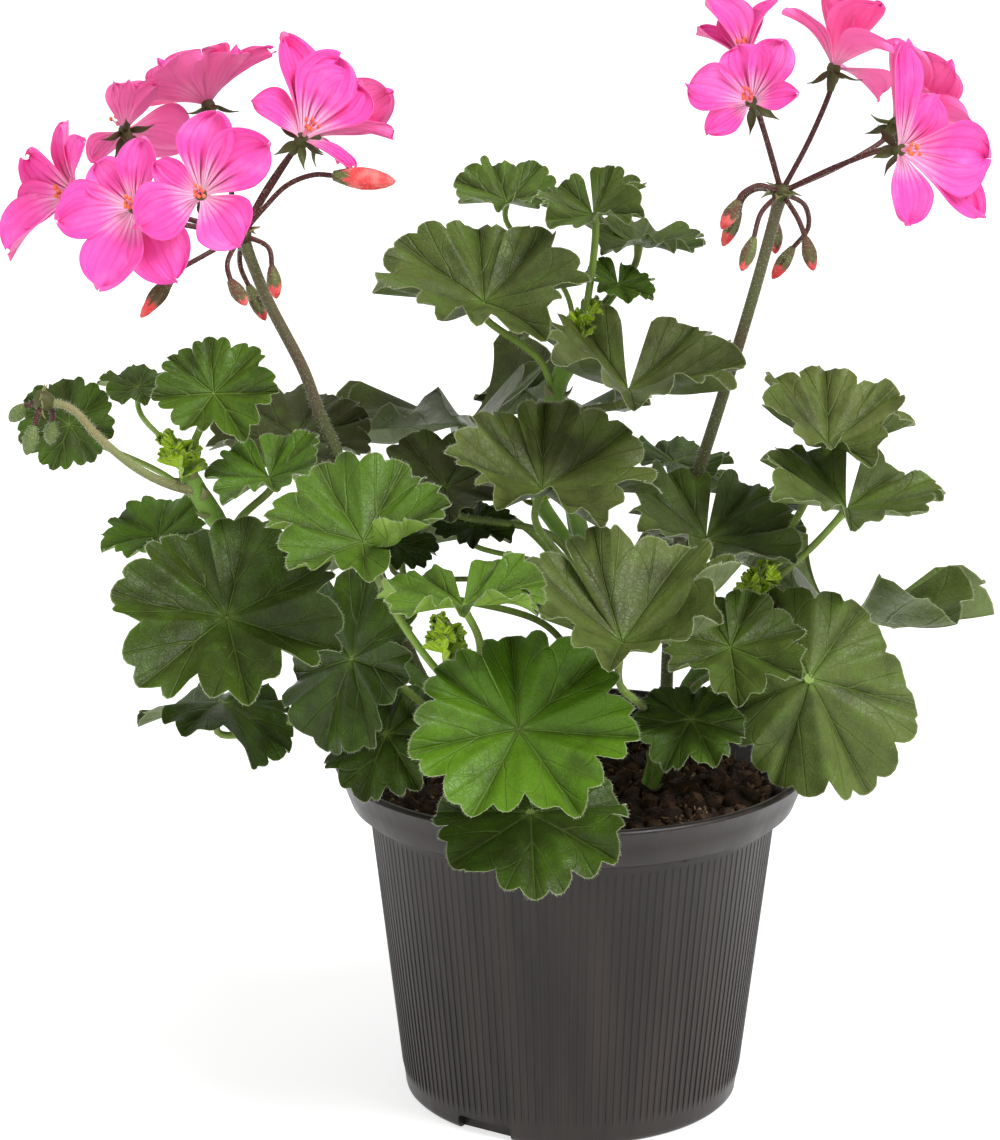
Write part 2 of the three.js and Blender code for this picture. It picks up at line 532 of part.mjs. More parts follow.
// The grow pot: a turned wall with a lip, a base with a raised drainage channel, drain
// holes in the channel and notches in the foot.
function makePot() {
  const neck = POT_HEIGHT - LIP_HEIGHT;
  const profile = [
    [0, 0], [CHANNEL_INNER, 0],
    [CHANNEL_INNER + CHANNEL_SLOPE, CHANNEL_DEPTH], [CHANNEL_OUTER - CHANNEL_SLOPE, CHANNEL_DEPTH],
    [CHANNEL_OUTER, 0], [POT_FOOT_RADIUS - POT_FOOT_ROUNDING, 0],
    [POT_FOOT_RADIUS, POT_FOOT_ROUNDING], [POT_NECK_RADIUS, neck - POT_NECK_DROP],
    [LIP_LOWER_RADIUS, neck], [LIP_RADIUS, POT_HEIGHT],
    [LIP_RADIUS - LIP_WIDTH, POT_HEIGHT], [LIP_LOWER_RADIUS - LIP_WIDTH, neck + LIP_FILLET],
    [POT_NECK_RADIUS - POT_WALL, neck],
    [POT_FOOT_RADIUS - POT_WALL, CHANNEL_DEPTH + POT_WALL], [0, CHANNEL_DEPTH + POT_WALL],
  ].map(([r, z]) => new THREE.Vector2(r, z));
  const wall = new THREE.LatheGeometry(profile, POT_SIDES);
  wall.rotateX(Math.PI / 2);
  const holes = [];
  const through = 4 * CHANNEL_DEPTH;
  for (let i = 0; i < DRAIN_HOLES; i += 1) {
    const angle = (2 * Math.PI * (i + 0.5)) / DRAIN_HOLES;
    const middle = (CHANNEL_INNER + CHANNEL_OUTER) / 2;
    const hole = new THREE.CylinderGeometry(DRAIN_RADIUS, DRAIN_RADIUS, through, DRAIN_SIDES);
    hole.rotateX(Math.PI / 2);
    hole.translate(middle * Math.cos(angle), middle * Math.sin(angle), 0);
    holes.push(toSolid(hole));
  }
  for (let i = 0; i < FOOT_NOTCHES; i += 1) {
    const angle = radians(FIRST_NOTCH_ANGLE + (360 * i) / FOOT_NOTCHES);
    const notch = new THREE.BoxGeometry(NOTCH_DEPTH, NOTCH_WIDTH, 2 * NOTCH_HEIGHT);
    notch.translate(POT_FOOT_RADIUS, 0, 0);
    notch.rotateZ(angle);
    holes.push(toSolid(notch));
  }
  return largest(cut(toSolid(wall), holes));
}

// The compost: fills the pot with a clearance all round and lies in low mounds.
function makeCompost() {
  const floor = CHANNEL_DEPTH + POT_WALL + GAP;
  const neck = POT_HEIGHT - LIP_HEIGHT;
  const rings = [
    [0, COMPOST_LEVEL], ...MOUND_RINGS.map((r) => [r, COMPOST_LEVEL]),
    [POT_NECK_RADIUS - POT_WALL - 2 * GAP, neck - GAP],
    [POT_FOOT_RADIUS - POT_WALL - GAP, floor], [0, floor],
  ];
  const heap = new THREE.LatheGeometry(rings.map(([r, z]) => new THREE.Vector2(r, z)), COMPOST_SIDES);
  heap.rotateX(Math.PI / 2);
  const position = heap.getAttribute('position');
  for (let i = 0; i < position.count; i += 1) {
    const [x, y, z] = [position.getX(i), position.getY(i), position.getZ(i)];
    if (z > COMPOST_LEVEL - GAP) {
      const [a, b, c] = MOUND_SPACING;
      const waves = Math.sin(x / a) * Math.cos(y / b) + Math.sin((x + y) / c);
      position.setZ(i, z + (MOUND_HEIGHT * waves) / 2);
    }
  }
  return toSolid(heap);
}

// A stalk as it is, and as the thicker one that clears the space round it.
function stalkPair(points, radius, sides, spacing) {
  return {
    own: stalk(points, radius, sides, spacing),
    clear: stalk(points, radius + GAP * CLEARANCE, sides, spacing),
  };
}

function joinPair(a, b) {
  return { own: a.own.add(b.own), clear: a.clear.add(b.clear) };
}

function budPair(from, to, radius, sides) {
  return { own: bud(from, to, radius, sides), clear: bud(from, to, radius + GAP * CLEARANCE, sides) };
}

function makeStem([name, [radius, points]]) {
  const { own, clear } = stalkPair(points, radius, STEM_SIDES, STEM_SPACING);
  const width = 4 * radius;
  const sole = new THREE.BoxGeometry(width, width, 2 * GAP);
  sole.translate(...points[0]);
  return { name, finish: FINISH.stem, stalk: { own: own.subtract(toSolid(sole)), clear } };
}

// A peduncle: its stalk, the swelling that the flower stalks leave, and the stalked buds.
function makePeduncle([name, { on, stalk: points, buds }]) {
  const hub = points.at(-1);
  const below = vector(hub).lerp(vector(points.at(-2)), HUB_BELOW).toArray();
  const above = vector(hub).addScaledVector(vector(hub).sub(vector(below)).normalize(), HUB_RADIUS);
  let whole = joinPair(
    stalkPair([onStem(on).point.toArray(), ...points], PEDUNCLE_RADIUS, STALK_SIDES, STEM_SPACING),
    budPair(below, above.toArray(), HUB_RADIUS, STALK_SIDES));
  for (const stem of buds) {
    const bare = stalkPair([hub, ...stem.slice(0, -1)], BUD_STALK_RADIUS, PETIOLE_SIDES, BUD_SPACING);
    whole = joinPair(whole, joinPair(bare, budPair(stem.at(-2), stem.at(-1), BUD_RADIUS, STALK_SIDES)));
  }
  return { name, finish: FINISH.peduncle, stalk: whole };
}

function makeLeaf(spec) {
  const face = bladeAxes(spec).face.negate();
  const surface = (u, v) => leafPoint(spec, u, v);
  const wider = (u, v) => leafPoint({ ...spec, length: spec.length + 2 * GAP }, u, v);
  const columns = (spec.length < SMALL_LEAF ? 2 : 3) * LEAF_LOBES;
  return {
    name: spec.name, finish: FINISH.leaf,
    blade: {
      own: blade(surface, columns, LEAF_ROWS, LEAF_THICKNESS, face),
      clear: blade(wider, columns, LEAF_ROWS, LEAF_THICKNESS + 2 * GAP * CLEARANCE, face),
    },
    stalk: stalkPair(petiolePoints(spec), PETIOLE_RADIUS, PETIOLE_SIDES, PETIOLE_SPACING),
  };
}

function makeFlower(spec) {
  const hub = PEDUNCLES[spec.umbel].stalk.at(-1);
  const facing = vector(spec.face).normalize();
  const back = vector(spec.throat).addScaledVector(facing, -CALYX_LENGTH);
  const bend = back.clone().lerp(vector(hub), PEDICEL_BEND).addScaledVector(facing, -CALYX_RADIUS);
  const inside = back.clone().addScaledVector(facing, CALYX_RADIUS);
  const front = vector(spec.throat).addScaledVector(facing, CALYX_LENGTH / 2);
  const pedicel = stalkPair(
    [hub, bend.toArray(), back.toArray(), inside.toArray()], PEDICEL_RADIUS, PETIOLE_SIDES, BUD_SPACING);
  const calyx = budPair(back.toArray(), front.toArray(), CALYX_RADIUS, PETIOLE_SIDES);
  const petals = spec.petals.map((petal) => {
    const surface = (u, v) => petalPoint(spec, petal, u, v);
    return {
      own: blade(surface, PETAL_COLUMNS, PETAL_ROWS, PETAL_THICKNESS),
      clear: blade(surface, PETAL_COLUMNS, PETAL_ROWS, PETAL_THICKNESS + 2 * GAP * CLEARANCE),
    };
  });
  return {
    name: spec.name, finish: FINISH.flower,
    blade: petals.reduce(joinPair), stalk: joinPair(pedicel, calyx),
  };
}

const stems = Object.entries(STEMS).map(makeStem);
const peduncles = Object.entries(PEDUNCLES).map(makePeduncle);
const bladed = [...LEAVES.map(makeLeaf), ...FLOWERS.map(makeFlower)];
const stemClear = stems.map((stem) => stem.stalk.clear);
const pot = makePot();
const compost = cut(makeCompost(), stemClear);

const group = new THREE.Group();
group.add(toMesh('pot', pot, FINISH.pot));
group.add(toMesh('compost', compost, FINISH.compost));

// Each stalk is cleared of the stalks before it, and each blade of every other piece's
// stalk and of the blades before it. Stems come first, then peduncles, leaves and flowers.
const earlierStalks = [];
const earlierBlades = [];
for (const part of [...stems, ...peduncles, ...bladed]) {
  let solid = largest(cut(part.stalk.own, earlierStalks));
  if (part.blade) {
    const otherStalks = [...stems, ...peduncles, ...bladed]
      .filter((other) => other !== part)
      .map((other) => other.stalk.clear);
    solid = solid.add(cut(part.blade.own, [pot, ...otherStalks, ...earlierBlades]));
    earlierBlades.push(part.blade.clear);
  }
  earlierStalks.push(part.stalk.clear);
  group.add(toMesh(part.name, settled(solid), part.finish));
}

export default group;
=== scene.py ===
"""A potted pelargonium: leaves, stems, two umbels of pink flowers, compost and a plastic grow pot.

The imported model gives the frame. Lengths in the tables are millimetres, in that frame: X to the right,
Y away from the front, Z up, with the origin on the pot's axis at the surface it stands on.
"""

import logging
import math
from dataclasses import dataclass, field
from enum import Enum

import bpy
import numpy as np
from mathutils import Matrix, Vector


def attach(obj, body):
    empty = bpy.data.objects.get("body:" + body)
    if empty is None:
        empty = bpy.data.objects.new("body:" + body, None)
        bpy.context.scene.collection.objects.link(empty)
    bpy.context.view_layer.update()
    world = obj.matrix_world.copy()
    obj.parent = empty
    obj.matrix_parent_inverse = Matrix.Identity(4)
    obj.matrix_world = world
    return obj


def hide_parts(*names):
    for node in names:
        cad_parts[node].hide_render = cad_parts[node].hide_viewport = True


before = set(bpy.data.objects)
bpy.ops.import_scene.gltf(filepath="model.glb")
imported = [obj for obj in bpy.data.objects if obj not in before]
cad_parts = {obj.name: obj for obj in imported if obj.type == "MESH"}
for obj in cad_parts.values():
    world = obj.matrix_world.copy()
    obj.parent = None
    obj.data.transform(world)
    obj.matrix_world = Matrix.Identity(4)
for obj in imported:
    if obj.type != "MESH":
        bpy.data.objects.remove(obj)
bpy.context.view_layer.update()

LOG = logging.getLogger("pelargonium")
MM = 0.001
LOBES = 7
LINE_STEPS = 24
HAIR_WIDTH = 0.035
GOLDEN_ANGLE = 137
ANY_TURN = 6.28
UP = np.array([0.0, 0.0, 1.0])
Point = tuple[float, float, float]
Colour = tuple[float, float, float]
Shade = Colour | bpy.types.NodeSocket


# Directions and lines


def unit(v: np.ndarray) -> np.ndarray:
    """Returns v, or each row of it, at length one."""
    return v / np.maximum(np.linalg.norm(v, axis=-1, keepdims=True), 1e-12)


def turned(v: np.ndarray, axis: np.ndarray, degrees: float) -> np.ndarray:
    """Turns a direction.

    Args:
        v: the direction.
        axis: what it turns about, at length one.
        degrees: how far, right-handed.

    Returns:
        The turned direction.
    """
    angle = math.radians(degrees)
    across = np.cross(axis, v) * math.sin(angle)
    return v * math.cos(angle) + across + axis * (axis @ v) * (1 - math.cos(angle))


def chance(seed: float, k: float) -> float:
    """Returns a number from 0 to 1 that depends on a seed and on k."""
    value = math.sin(seed * 12.9898 + k * 78.233) * 43758.5453
    return value - math.floor(value)


def smooth_line(points: list[Point], spacing: float = 1.5) -> np.ndarray:
    """Runs a centripetal Catmull-Rom line through the points.

    Args:
        points: the points that the line passes, two or more.
        spacing: the greatest distance between the returned points.

    Returns:
        Points along the line at even distances.
    """
    p = np.array(points, float)
    p = np.vstack([2 * p[0] - p[1], p, 2 * p[-1] - p[-2]])
    t = np.linspace(0, 1, LINE_STEPS, endpoint=False)[:, None]
    dense = []
    for i in range(1, len(p) - 2):
        a, b, c, d = p[i - 1 : i + 3]
        before, here, after = (max(np.linalg.norm(y - x) ** 0.5, 1e-4) for x, y in ((a, b), (b, c), (c, d)))
        leave = ((b - a) / before - (c - a) / (before + here) + (c - b) / here) * here
        arrive = ((c - b) / here - (d - b) / (here + after) + (d - c) / after) * here
        cubic = 2 * b - 2 * c + leave + arrive
        square = -3 * b + 3 * c - 2 * leave - arrive
        dense.append(b + leave * t + square * t**2 + cubic * t**3)
    line = np.vstack([*dense, p[-2][None]])
    reach = np.concatenate([[0], np.cumsum(np.linalg.norm(np.diff(line, axis=0), axis=1))])
    count = max(4, math.ceil(reach[-1] / spacing))
    stops = np.linspace(0, reach[-1], count + 1)
    return np.stack([np.interp(stops, reach, line[:, k]) for k in range(3)], axis=1)


# Shader and node building


class Number:
    """A number that varies over a surface, with Python's operators as Math nodes."""

    def __init__(self, maker: "NodeMaker", socket: bpy.types.NodeSocket) -> None:
        """Wraps a node's output socket."""
        self.maker = maker
        self.socket = socket

    def _math(self, operation: str, *values: "Number | float") -> "Number":
        """Returns the result of a Math node on the values."""
        node = self.maker.node("ShaderNodeMath", {"operation": operation}, dict(enumerate(values)))
        return Number(self.maker, node.outputs[0])

    def __add__(self, other: "Number | float") -> "Number":
        """Returns the sum."""
        return self._math("ADD", self, other)

    __radd__ = __add__

    def __sub__(self, other: "Number | float") -> "Number":
        """Returns the difference."""
        return self._math("SUBTRACT", self, other)

    def __rsub__(self, other: float) -> "Number":
        """Returns the difference from a plain number."""
        return self._math("SUBTRACT", other, self)

    def __mul__(self, other: "Number | float") -> "Number":
        """Returns the product."""
        return self._math("MULTIPLY", self, other)

    __rmul__ = __mul__

    def __truediv__(self, other: "Number | float") -> "Number":
        """Returns the quotient."""
        return self._math("DIVIDE", self, other)

    def __abs__(self) -> "Number":
        """Returns the size without its sign."""
        return self._math("ABSOLUTE", self)

    def fraction(self) -> "Number":
        """Returns what is past the whole number."""
        return self._math("FRACT", self)

    def sine(self) -> "Number":
        """Returns the sine of this number in radians."""
        return self._math("SINE", self)

    def most(self, other: "Number | float") -> "Number":
        """Returns the greater of the two."""
        return self._math("MAXIMUM", self, other)

    def ramp(self, start: float, end: float, low: float = 0.0, high: float = 1.0) -> "Number":
        """Steps smoothly from one value to another.

        Args:
            start: this number where the step begins; it may be more than end.
            end: this number where the step is over.
            low: the value at start.
            high: the value at end.

        Returns:
            The value.
        """
        node = self.maker.node(
            "ShaderNodeMapRange",
            {"interpolation_type": "SMOOTHSTEP"},
            {"Value": self, "From Min": start, "From Max": end, "To Min": low, "To Max": high},
        )
        return Number(self.maker, node.outputs[0])


class NodeMaker:
    """Adds nodes to a tree, of a material or of geometry."""

    def __init__(self, tree: bpy.types.NodeTree) -> None:
        """Takes the tree to add to."""
        self.tree = tree

    def node(self, kind: str, settings: dict | None = None, inputs: dict | None = None) -> bpy.types.Node:
        """Adds a node.

        Args:
            kind: the node's type.
            settings: its properties, set before its sockets.
            inputs: for each socket's name or number, a value, a Number or an output socket.

        Returns:
            The new node.
        """
        made = self.tree.nodes.new(kind)
        for name, value in (settings or {}).items():
            setattr(made, name, value)
        for name, value in (inputs or {}).items():
            if isinstance(value, Number):
                value = value.socket
            if isinstance(value, bpy.types.NodeSocket):
                self.tree.links.new(value, made.inputs[name])
            else:
                made.inputs[name].default_value = value
        return made


def opaque(colour: Shade) -> object:
    """Returns a plain colour with its alpha, and a linked one as it is."""
    return colour if isinstance(colour, bpy.types.NodeSocket) else (*colour, 1)


class Surface(NodeMaker):
    """A material under construction."""

    def __init__(self, name: str) -> None:
        """Starts an empty material of that name."""
        self.material = bpy.data.materials.new(name)
        self.material.use_nodes = True
        super().__init__(self.material.node_tree)
        self.tree.nodes.clear()
        self.place = self.node("ShaderNodeTexCoord").outputs["Object"]

    def attribute(self, name: str) -> Number:
        """Returns a number that the mesh carries."""
        return Number(self, self.node("ShaderNodeAttribute", {"attribute_name": name}).outputs["Fac"])

    def uv(self) -> tuple[Number, Number]:
        """Returns the two numbers of the piece's UV map."""
        place = self.node("ShaderNodeUVMap", {"uv_map": "UVMap"})
        split = self.node("ShaderNodeSeparateXYZ", inputs={0: place.outputs[0]})
        return Number(self, split.outputs[0]), Number(self, split.outputs[1])

    def noise(self, scale: float, detail: float = 3.0, stretch: Point = (1, 1, 1)) -> Number:
        """Makes clouds.

        Args:
            scale: how many there are in a metre.
            detail: how many finer layers they have.
            stretch: a share below 1 draws them out along that axis.

        Returns:
            The noise, mostly from 0.3 to 0.7.
        """
        where = self.node("ShaderNodeMapping", inputs={0: self.place, "Scale": stretch}).outputs[0]
        made = self.node("ShaderNodeTexNoise", inputs={"Vector": where, "Scale": scale, "Detail": detail})
        return Number(self, made.outputs[0])

    def cells(self, scale: float) -> Number:
        """Returns the distance to the edge of a net of cells."""
        made = self.node(
            "ShaderNodeTexVoronoi", {"feature": "DISTANCE_TO_EDGE"}, {"Vector": self.place, "Scale": scale}
        )
        return Number(self, made.outputs[0])

    def specks(self, scale: float) -> Number:
        """Returns the distance to the middle of each of many scattered specks."""
        made = self.node("ShaderNodeTexVoronoi", inputs={"Vector": self.place, "Scale": scale})
        return Number(self, made.outputs[0])

    def mix(self, share: Number | float, a: Shade, b: Shade) -> bpy.types.NodeSocket:
        """Returns the colour a, turned to b as share goes from 0 to 1."""
        inputs = {0: share, 6: opaque(a), 7: opaque(b)}
        return self.node("ShaderNodeMix", {"data_type": "RGBA"}, inputs).outputs[2]

    def finish(
        self,
        colour: Shade,
        rough: Number | float,
        bump: Number | None = None,
        depth: float = 0.1,
        **constants: object,
    ) -> bpy.types.Material:
        """Closes the material with its shader.

        Args:
            colour: the base colour, plain or linked.
            rough: the roughness.
            bump: the height that the light is bent by.
            depth: the height of the bump, in millimetres.
            constants: other sockets of the shader, with _ for a space, the same all over.

        Returns:
            The finished material.
        """
        inputs = {"Base Color": opaque(colour), "Roughness": rough}
        inputs |= {name.replace("_", " "): value for name, value in constants.items()}
        if bump is not None:
            height = {"Strength": 1.0, "Distance": depth * MM, "Height": bump}
            inputs["Normal"] = self.node("ShaderNodeBump", inputs=height).outputs[0]
        shader = self.node("ShaderNodeBsdfPrincipled", inputs=inputs)
        self.node("ShaderNodeOutputMaterial", inputs={0: shader.outputs[0]})
        return self.material


# Finishes


class BladePlan:
    """What varies over a blade: its veins, its net of cells, its clouds and how far out each place is."""

    # Each side vein of a lobe: the share of the way out where it starts, how fast it spreads, how far
    # from the lobe's middle it starts, its width and its strength.
    SIDE_VEINS = (
        (0.34, 0.42, 0.00, 0.42, 0.75),
        (0.60, 0.20, 0.00, 0.34, 0.50),
        (0.60, 0.85, 0.11, 0.34, 0.50),
    )

    def __init__(self, s: Surface) -> None:
        """Reads the blade's UV map and what the mesh carries."""
        share, self.reach = s.uv()
        self.age = s.attribute("age")
        self.size = s.attribute("size")
        lobe = (share * LOBES).fraction() - 0.5
        self.across = abs(lobe) * (2 * math.pi / LOBES) * self.reach * self.size
        self.veins = self.vein_lines((s.noise(160, 2) - 0.5) * 1.2)
        self.net = s.cells(620).ramp(0.0, 0.12)
        self.cloud = s.noise(34, 4)
        self.mottle = s.noise(150, 5)

    def vein_lines(self, wander: Number) -> Number:
        """Draws the veins.

        Args:
            wander: how far they stray from their lines.

        Returns:
            1 in the middle of a lobe's main vein, less in its side veins and 0 between them.
        """
        found = (self.across + abs(wander) * 0.25).ramp(0.55, 0.05)
        for start, spread, away, width, strength in self.SIDE_VEINS:
            line = self.across - self.size * away - (self.reach - start) * self.size * spread + wander * 0.6
            vein = abs(line).ramp(width, 0.04) * self.reach.ramp(start, start + 0.04)
            found = found.most(vein * strength)
        return found


@dataclass(frozen=True)
class LeafFinish:
    """The skin of the leaf blades, from bright green young ones to olive-brown old ones."""

    young: Colour = (0.098, 0.215, 0.010)
    grown: Colour = (0.040, 0.078, 0.005)
    olive: Colour = (0.050, 0.056, 0.011)
    # The dark zone's own colour, also used as painted shade in the creases beside the veins.
    zone_and_crease_shade: Colour = (0.022, 0.024, 0.005)
    vein: Colour = (0.13, 0.21, 0.035)
    under: Colour = (0.15, 0.20, 0.07)
    # Pale hairs; at the very edge this colour is partly a painted rim highlight.
    margin: Colour = (0.36, 0.42, 0.20)
    # Painted sheen: a pale grey painted highlight, laid most on the leaves toward the light at the right.
    bloom: Colour = (0.140, 0.180, 0.042)
    lime: Colour = (0.42, 0.62, 0.03)
    fresh: Colour = (0.25, 0.40, 0.06)

    def upper_face(self, s: Surface, plan: BladePlan) -> bpy.types.NodeSocket:
        """Returns the colour of the upper face: its age, painted sheen, dark zone, mottling, painted crease
        shade and veins.
        """
        age, reach = plan.age, plan.reach
        past_bud, settled = age.ramp(-0.5, 0.0), age.ramp(-0.5, 0.2)
        body = s.mix(age.ramp(0.0, 0.5), self.young, self.grown)
        body = s.mix(age.ramp(0.5, 1.0), body, self.olive)
        body = s.mix(age.ramp(0.0, -1.0), body, self.lime)
        # Painted sheen: the blade is paled in clouds towards a grey painted highlight, as strongly as each
        # leaf carries.
        body = s.mix(s.attribute("bloom") * plan.cloud.ramp(0.2, 0.6, 0.75, 1.0), body, self.bloom)
        band = reach.ramp(0.22, 0.42) * reach.ramp(0.86, 0.62) * plan.cloud.ramp(0.3, 0.7)
        body = s.mix(band * age.ramp(0.1, 0.9) * 0.5, body, self.zone_and_crease_shade)
        body = s.mix(plan.mottle.ramp(0.45, 0.75) * 0.28 * past_bud, body, self.young)
        body = s.mix((1 - plan.net) * 0.14 * past_bud, body, self.zone_and_crease_shade)
        # Painted shade: the creases beside the sunk veins are darkened.
        painted_crease_shade = (plan.across.ramp(2.6, 0.4) - plan.across.ramp(0.6, 0.2) * 0.7).most(0)
        body = s.mix(painted_crease_shade * reach.ramp(0.1, 0.4) * 0.5 * settled, body, self.zone_and_crease_shade)
        body = s.mix(s.noise(95, 3).ramp(0.45, 0.72) * 0.5 * settled, body, self.zone_and_crease_shade)
        shown = (1.15 - reach * 1.1).most(0.12) * age.ramp(1.0, 0.0, 0.35, 0.9)
        body = s.mix(plan.veins * shown, body, self.vein)
        return s.mix(reach.ramp(0.16, 0.04) * 0.6, body, self.vein)

    def under_face(self, s: Surface, plan: BladePlan) -> bpy.types.NodeSocket:
        """Returns the colour of the under face."""
        body = s.mix(plan.age.ramp(0.6, 0.15), self.under, self.fresh)
        body = s.mix(plan.veins * 0.6, body, self.vein)
        body = s.mix(plan.mottle.ramp(0.3, 0.8) * 0.35 + plan.age.most(0) * 0.35, body, self.olive)
        return s.mix(plan.age.ramp(0.0, -1.0), body, self.lime)

    def material(self) -> bpy.types.Material:
        """Returns the material: a margin pale with hairs and painted rim highlight, veins sunk above and
        standing out beneath.
        """
        s = Surface("leaf_blade")
        plan = BladePlan(s)
        side = s.attribute("upper")
        colour = s.mix(side, self.under_face(s, plan), self.upper_face(s, plan))
        specks = s.specks(1500).ramp(0.20, 0.08) * plan.mottle.ramp(0.35, 0.6)
        colour = s.mix(specks * 0.35, colour, self.margin)
        # The pale edge: partly its hairs, partly a painted rim highlight.
        colour = s.mix(plan.reach.ramp(0.984, 0.998) * 0.45, colour, self.margin)
        puckers = s.noise(70, 2) * 5.0 + s.noise(180, 2) * 1.5
        grain = plan.net * 0.14 + s.cells(1500).ramp(0.0, 0.10) * 0.05 + plan.mottle * 0.9
        height = puckers + grain - plan.veins * 0.9 * (side * 2 - 1)
        rough = plan.cloud.ramp(0.2, 0.8, 0.34, 0.46)
        return s.finish(colour, rough, height, 0.34, Specular_IOR_Level=0.24)


@dataclass(frozen=True)
class PetalFinish:
    """Silky pink petals; the upper pair of a flower carries dark veins."""

    pink: Colour = (0.92, 0.085, 0.42)
    light: Colour = (0.95, 0.20, 0.58)
    deep: Colour = (0.80, 0.018, 0.22)
    base: Colour = (0.98, 0.66, 0.82)
    blotch: Colour = (0.22, 0.003, 0.05)
    # The under face's own pinker colour, painted brighter for the light that shines through the petal.
    under: Colour = (1.0, 0.19, 0.42)

    def material(self) -> bpy.types.Material:
        """Returns the material; the mesh says which petals are veined and which side is which."""
        s = Surface("petal")
        across, reach = s.uv()
        veined = s.attribute("veined")
        side = s.attribute("upper")
        offset = abs(across - 0.5) * 2
        wave = (s.noise(210, 3) - 0.5) * 0.9
        rays = ((across - 0.5) * 46 + wave * 3).sine().ramp(0.2, 1.0)
        streak = s.noise(120, 4)
        pale = (reach + wave * 0.12 + rays * 0.06).ramp(0.0, 0.5)
        colour = s.mix(pale, self.base, self.pink)
        colour = s.mix(streak.ramp(0.42, 0.72) * 0.6, colour, self.light)
        colour = s.mix(s.noise(60, 2).ramp(0.5, 0.8) * 0.5, colour, self.deep)
        colour = s.mix(rays * 0.30 * reach.ramp(1.0, 0.2), colour, self.deep)
        ink = ((across - 0.5) * 26 + wave * 1.6).sine().ramp(0.55, 0.95)
        fan = ink * (reach + wave * 0.1).ramp(0.72, 0.25) * reach.ramp(0.03, 0.12) * offset.ramp(1.0, 0.4)
        colour = s.mix(fan * veined * 0.9, colour, self.blotch)
        colour = s.mix(ink * (1 - veined) * reach.ramp(0.5, 0.1) * 0.35, colour, self.deep)
        # Painted light: the under face is turned to a brighter pink that stands for light shining through the
        # petal.
        colour = s.mix((1 - side) * 0.6, colour, self.under)
        height = rays * 0.8 + ink * 0.4 + s.noise(420, 3) * 1.2
        return s.finish(
            colour,
            0.5,
            height,
            0.16,
            Specular_IOR_Level=0.2,
            Subsurface_Weight=0.15,
            Subsurface_Radius=(0.004, 0.0012, 0.002),
            Subsurface_Scale=0.5,
        )


@dataclass(frozen=True)
class StalkFinish:
    """The skin of a stalk, its colour drifting between two along and round it."""

    name: str
    first: Colour
    second: Colour
    rough: float = 0.5
    shine: float = 0.35

    def material(self) -> bpy.types.Material:
        """Returns the material."""
        s = Surface(self.name)
        drift = s.noise(45, 3)
        grain = s.noise(900, 3, (1, 1, 0.25))
        colour = s.mix(drift.ramp(0.3, 0.7), self.first, self.second)
        colour = s.mix(grain.ramp(0.5, 0.8) * 0.35, colour, self.second)
        rough = grain.ramp(0.2, 0.8, self.rough - 0.05, self.rough + 0.08)
        return s.finish(colour, rough, grain, 0.12, Specular_IOR_Level=self.shine)


@dataclass(frozen=True)
class BudFinish:
    """Closed buds: green sepals with a coral tip of petal."""

    green: Colour = (0.12, 0.17, 0.045)
    brown: Colour = (0.13, 0.055, 0.03)
    coral: Colour = (0.80, 0.055, 0.060)
    pink: Colour = (0.92, 0.24, 0.22)

    def material(self) -> bpy.types.Material:
        """Returns the material; the second UV number runs from a bud's base to its tip."""
        s = Surface("bud")
        around, reach = s.uv()
        ribs = (around * 2 * math.pi * 5).sine().ramp(-0.2, 0.9)
        coral = s.attribute("coral")
        ripe = coral.ramp(-0.7, -0.2)
        colour = s.mix(s.noise(240, 3).ramp(0.35, 0.65) * ripe, self.green, self.brown)
        colour = s.mix(ribs * 0.4 * ripe, colour, self.brown)
        tip = s.mix(s.noise(300, 3).ramp(0.4, 0.7) * 0.7, self.coral, self.pink)
        colour = s.mix((reach + ribs * 0.10 + coral * 0.5).ramp(0.68, 0.82), colour, tip)
        return s.finish(colour, 0.5, ribs + s.noise(800) * 0.4, 0.12, Specular_IOR_Level=0.35)


@dataclass(frozen=True)
class PotFinish:
    """Dark grey-brown moulded plastic with a satin face, scuffed a little."""

    dark: Colour = (0.010, 0.007, 0.006)
    pale: Colour = (0.023, 0.017, 0.015)
    dust: Colour = (0.10, 0.092, 0.085)

    def material(self) -> bpy.types.Material:
        """Returns the material."""
        s = Surface("pot_plastic")
        flow = s.noise(150, 4, (1, 1, 0.025))
        grain = s.noise(1400, 2)
        scuff = s.noise(90, 6, (1, 1, 0.35))
        colour = s.mix(flow.ramp(0.3, 0.7), self.dark, self.pale)
        colour = s.mix(scuff.ramp(0.62, 0.8) * 0.18, colour, self.dust)
        rough = flow.ramp(0.25, 0.75, 0.36, 0.50) + scuff.ramp(0.55, 0.8) * 0.12
        return s.finish(colour, rough, grain * 0.3 + flow * 2, 0.12, Specular_IOR_Level=0.3, Coat_Weight=0.06)


@dataclass(frozen=True)
class CompostFinish:
    """Damp peat, near black, with browner lumps; its crumbs, fibres and grit have colours of their own."""

    name: str = "compost_matter"
    dark: Colour = (0.016, 0.009, 0.006)
    brown: Colour = (0.060, 0.030, 0.015)
    light: Colour = (0.16, 0.095, 0.05)

    def material(self) -> bpy.types.Material:
        """Returns the material."""
        s = Surface(self.name)
        lump = s.noise(260, 5)
        grit = s.noise(1300, 4)
        colour = s.mix(lump.ramp(0.4, 0.7), self.dark, self.brown)
        colour = s.mix(grit.ramp(0.6, 0.78) * 0.5, colour, self.light)
        return s.finish(colour, grit.ramp(0.3, 0.7, 0.7, 0.95), grit + lump, 0.5, Specular_IOR_Level=0.3)


# Meshes


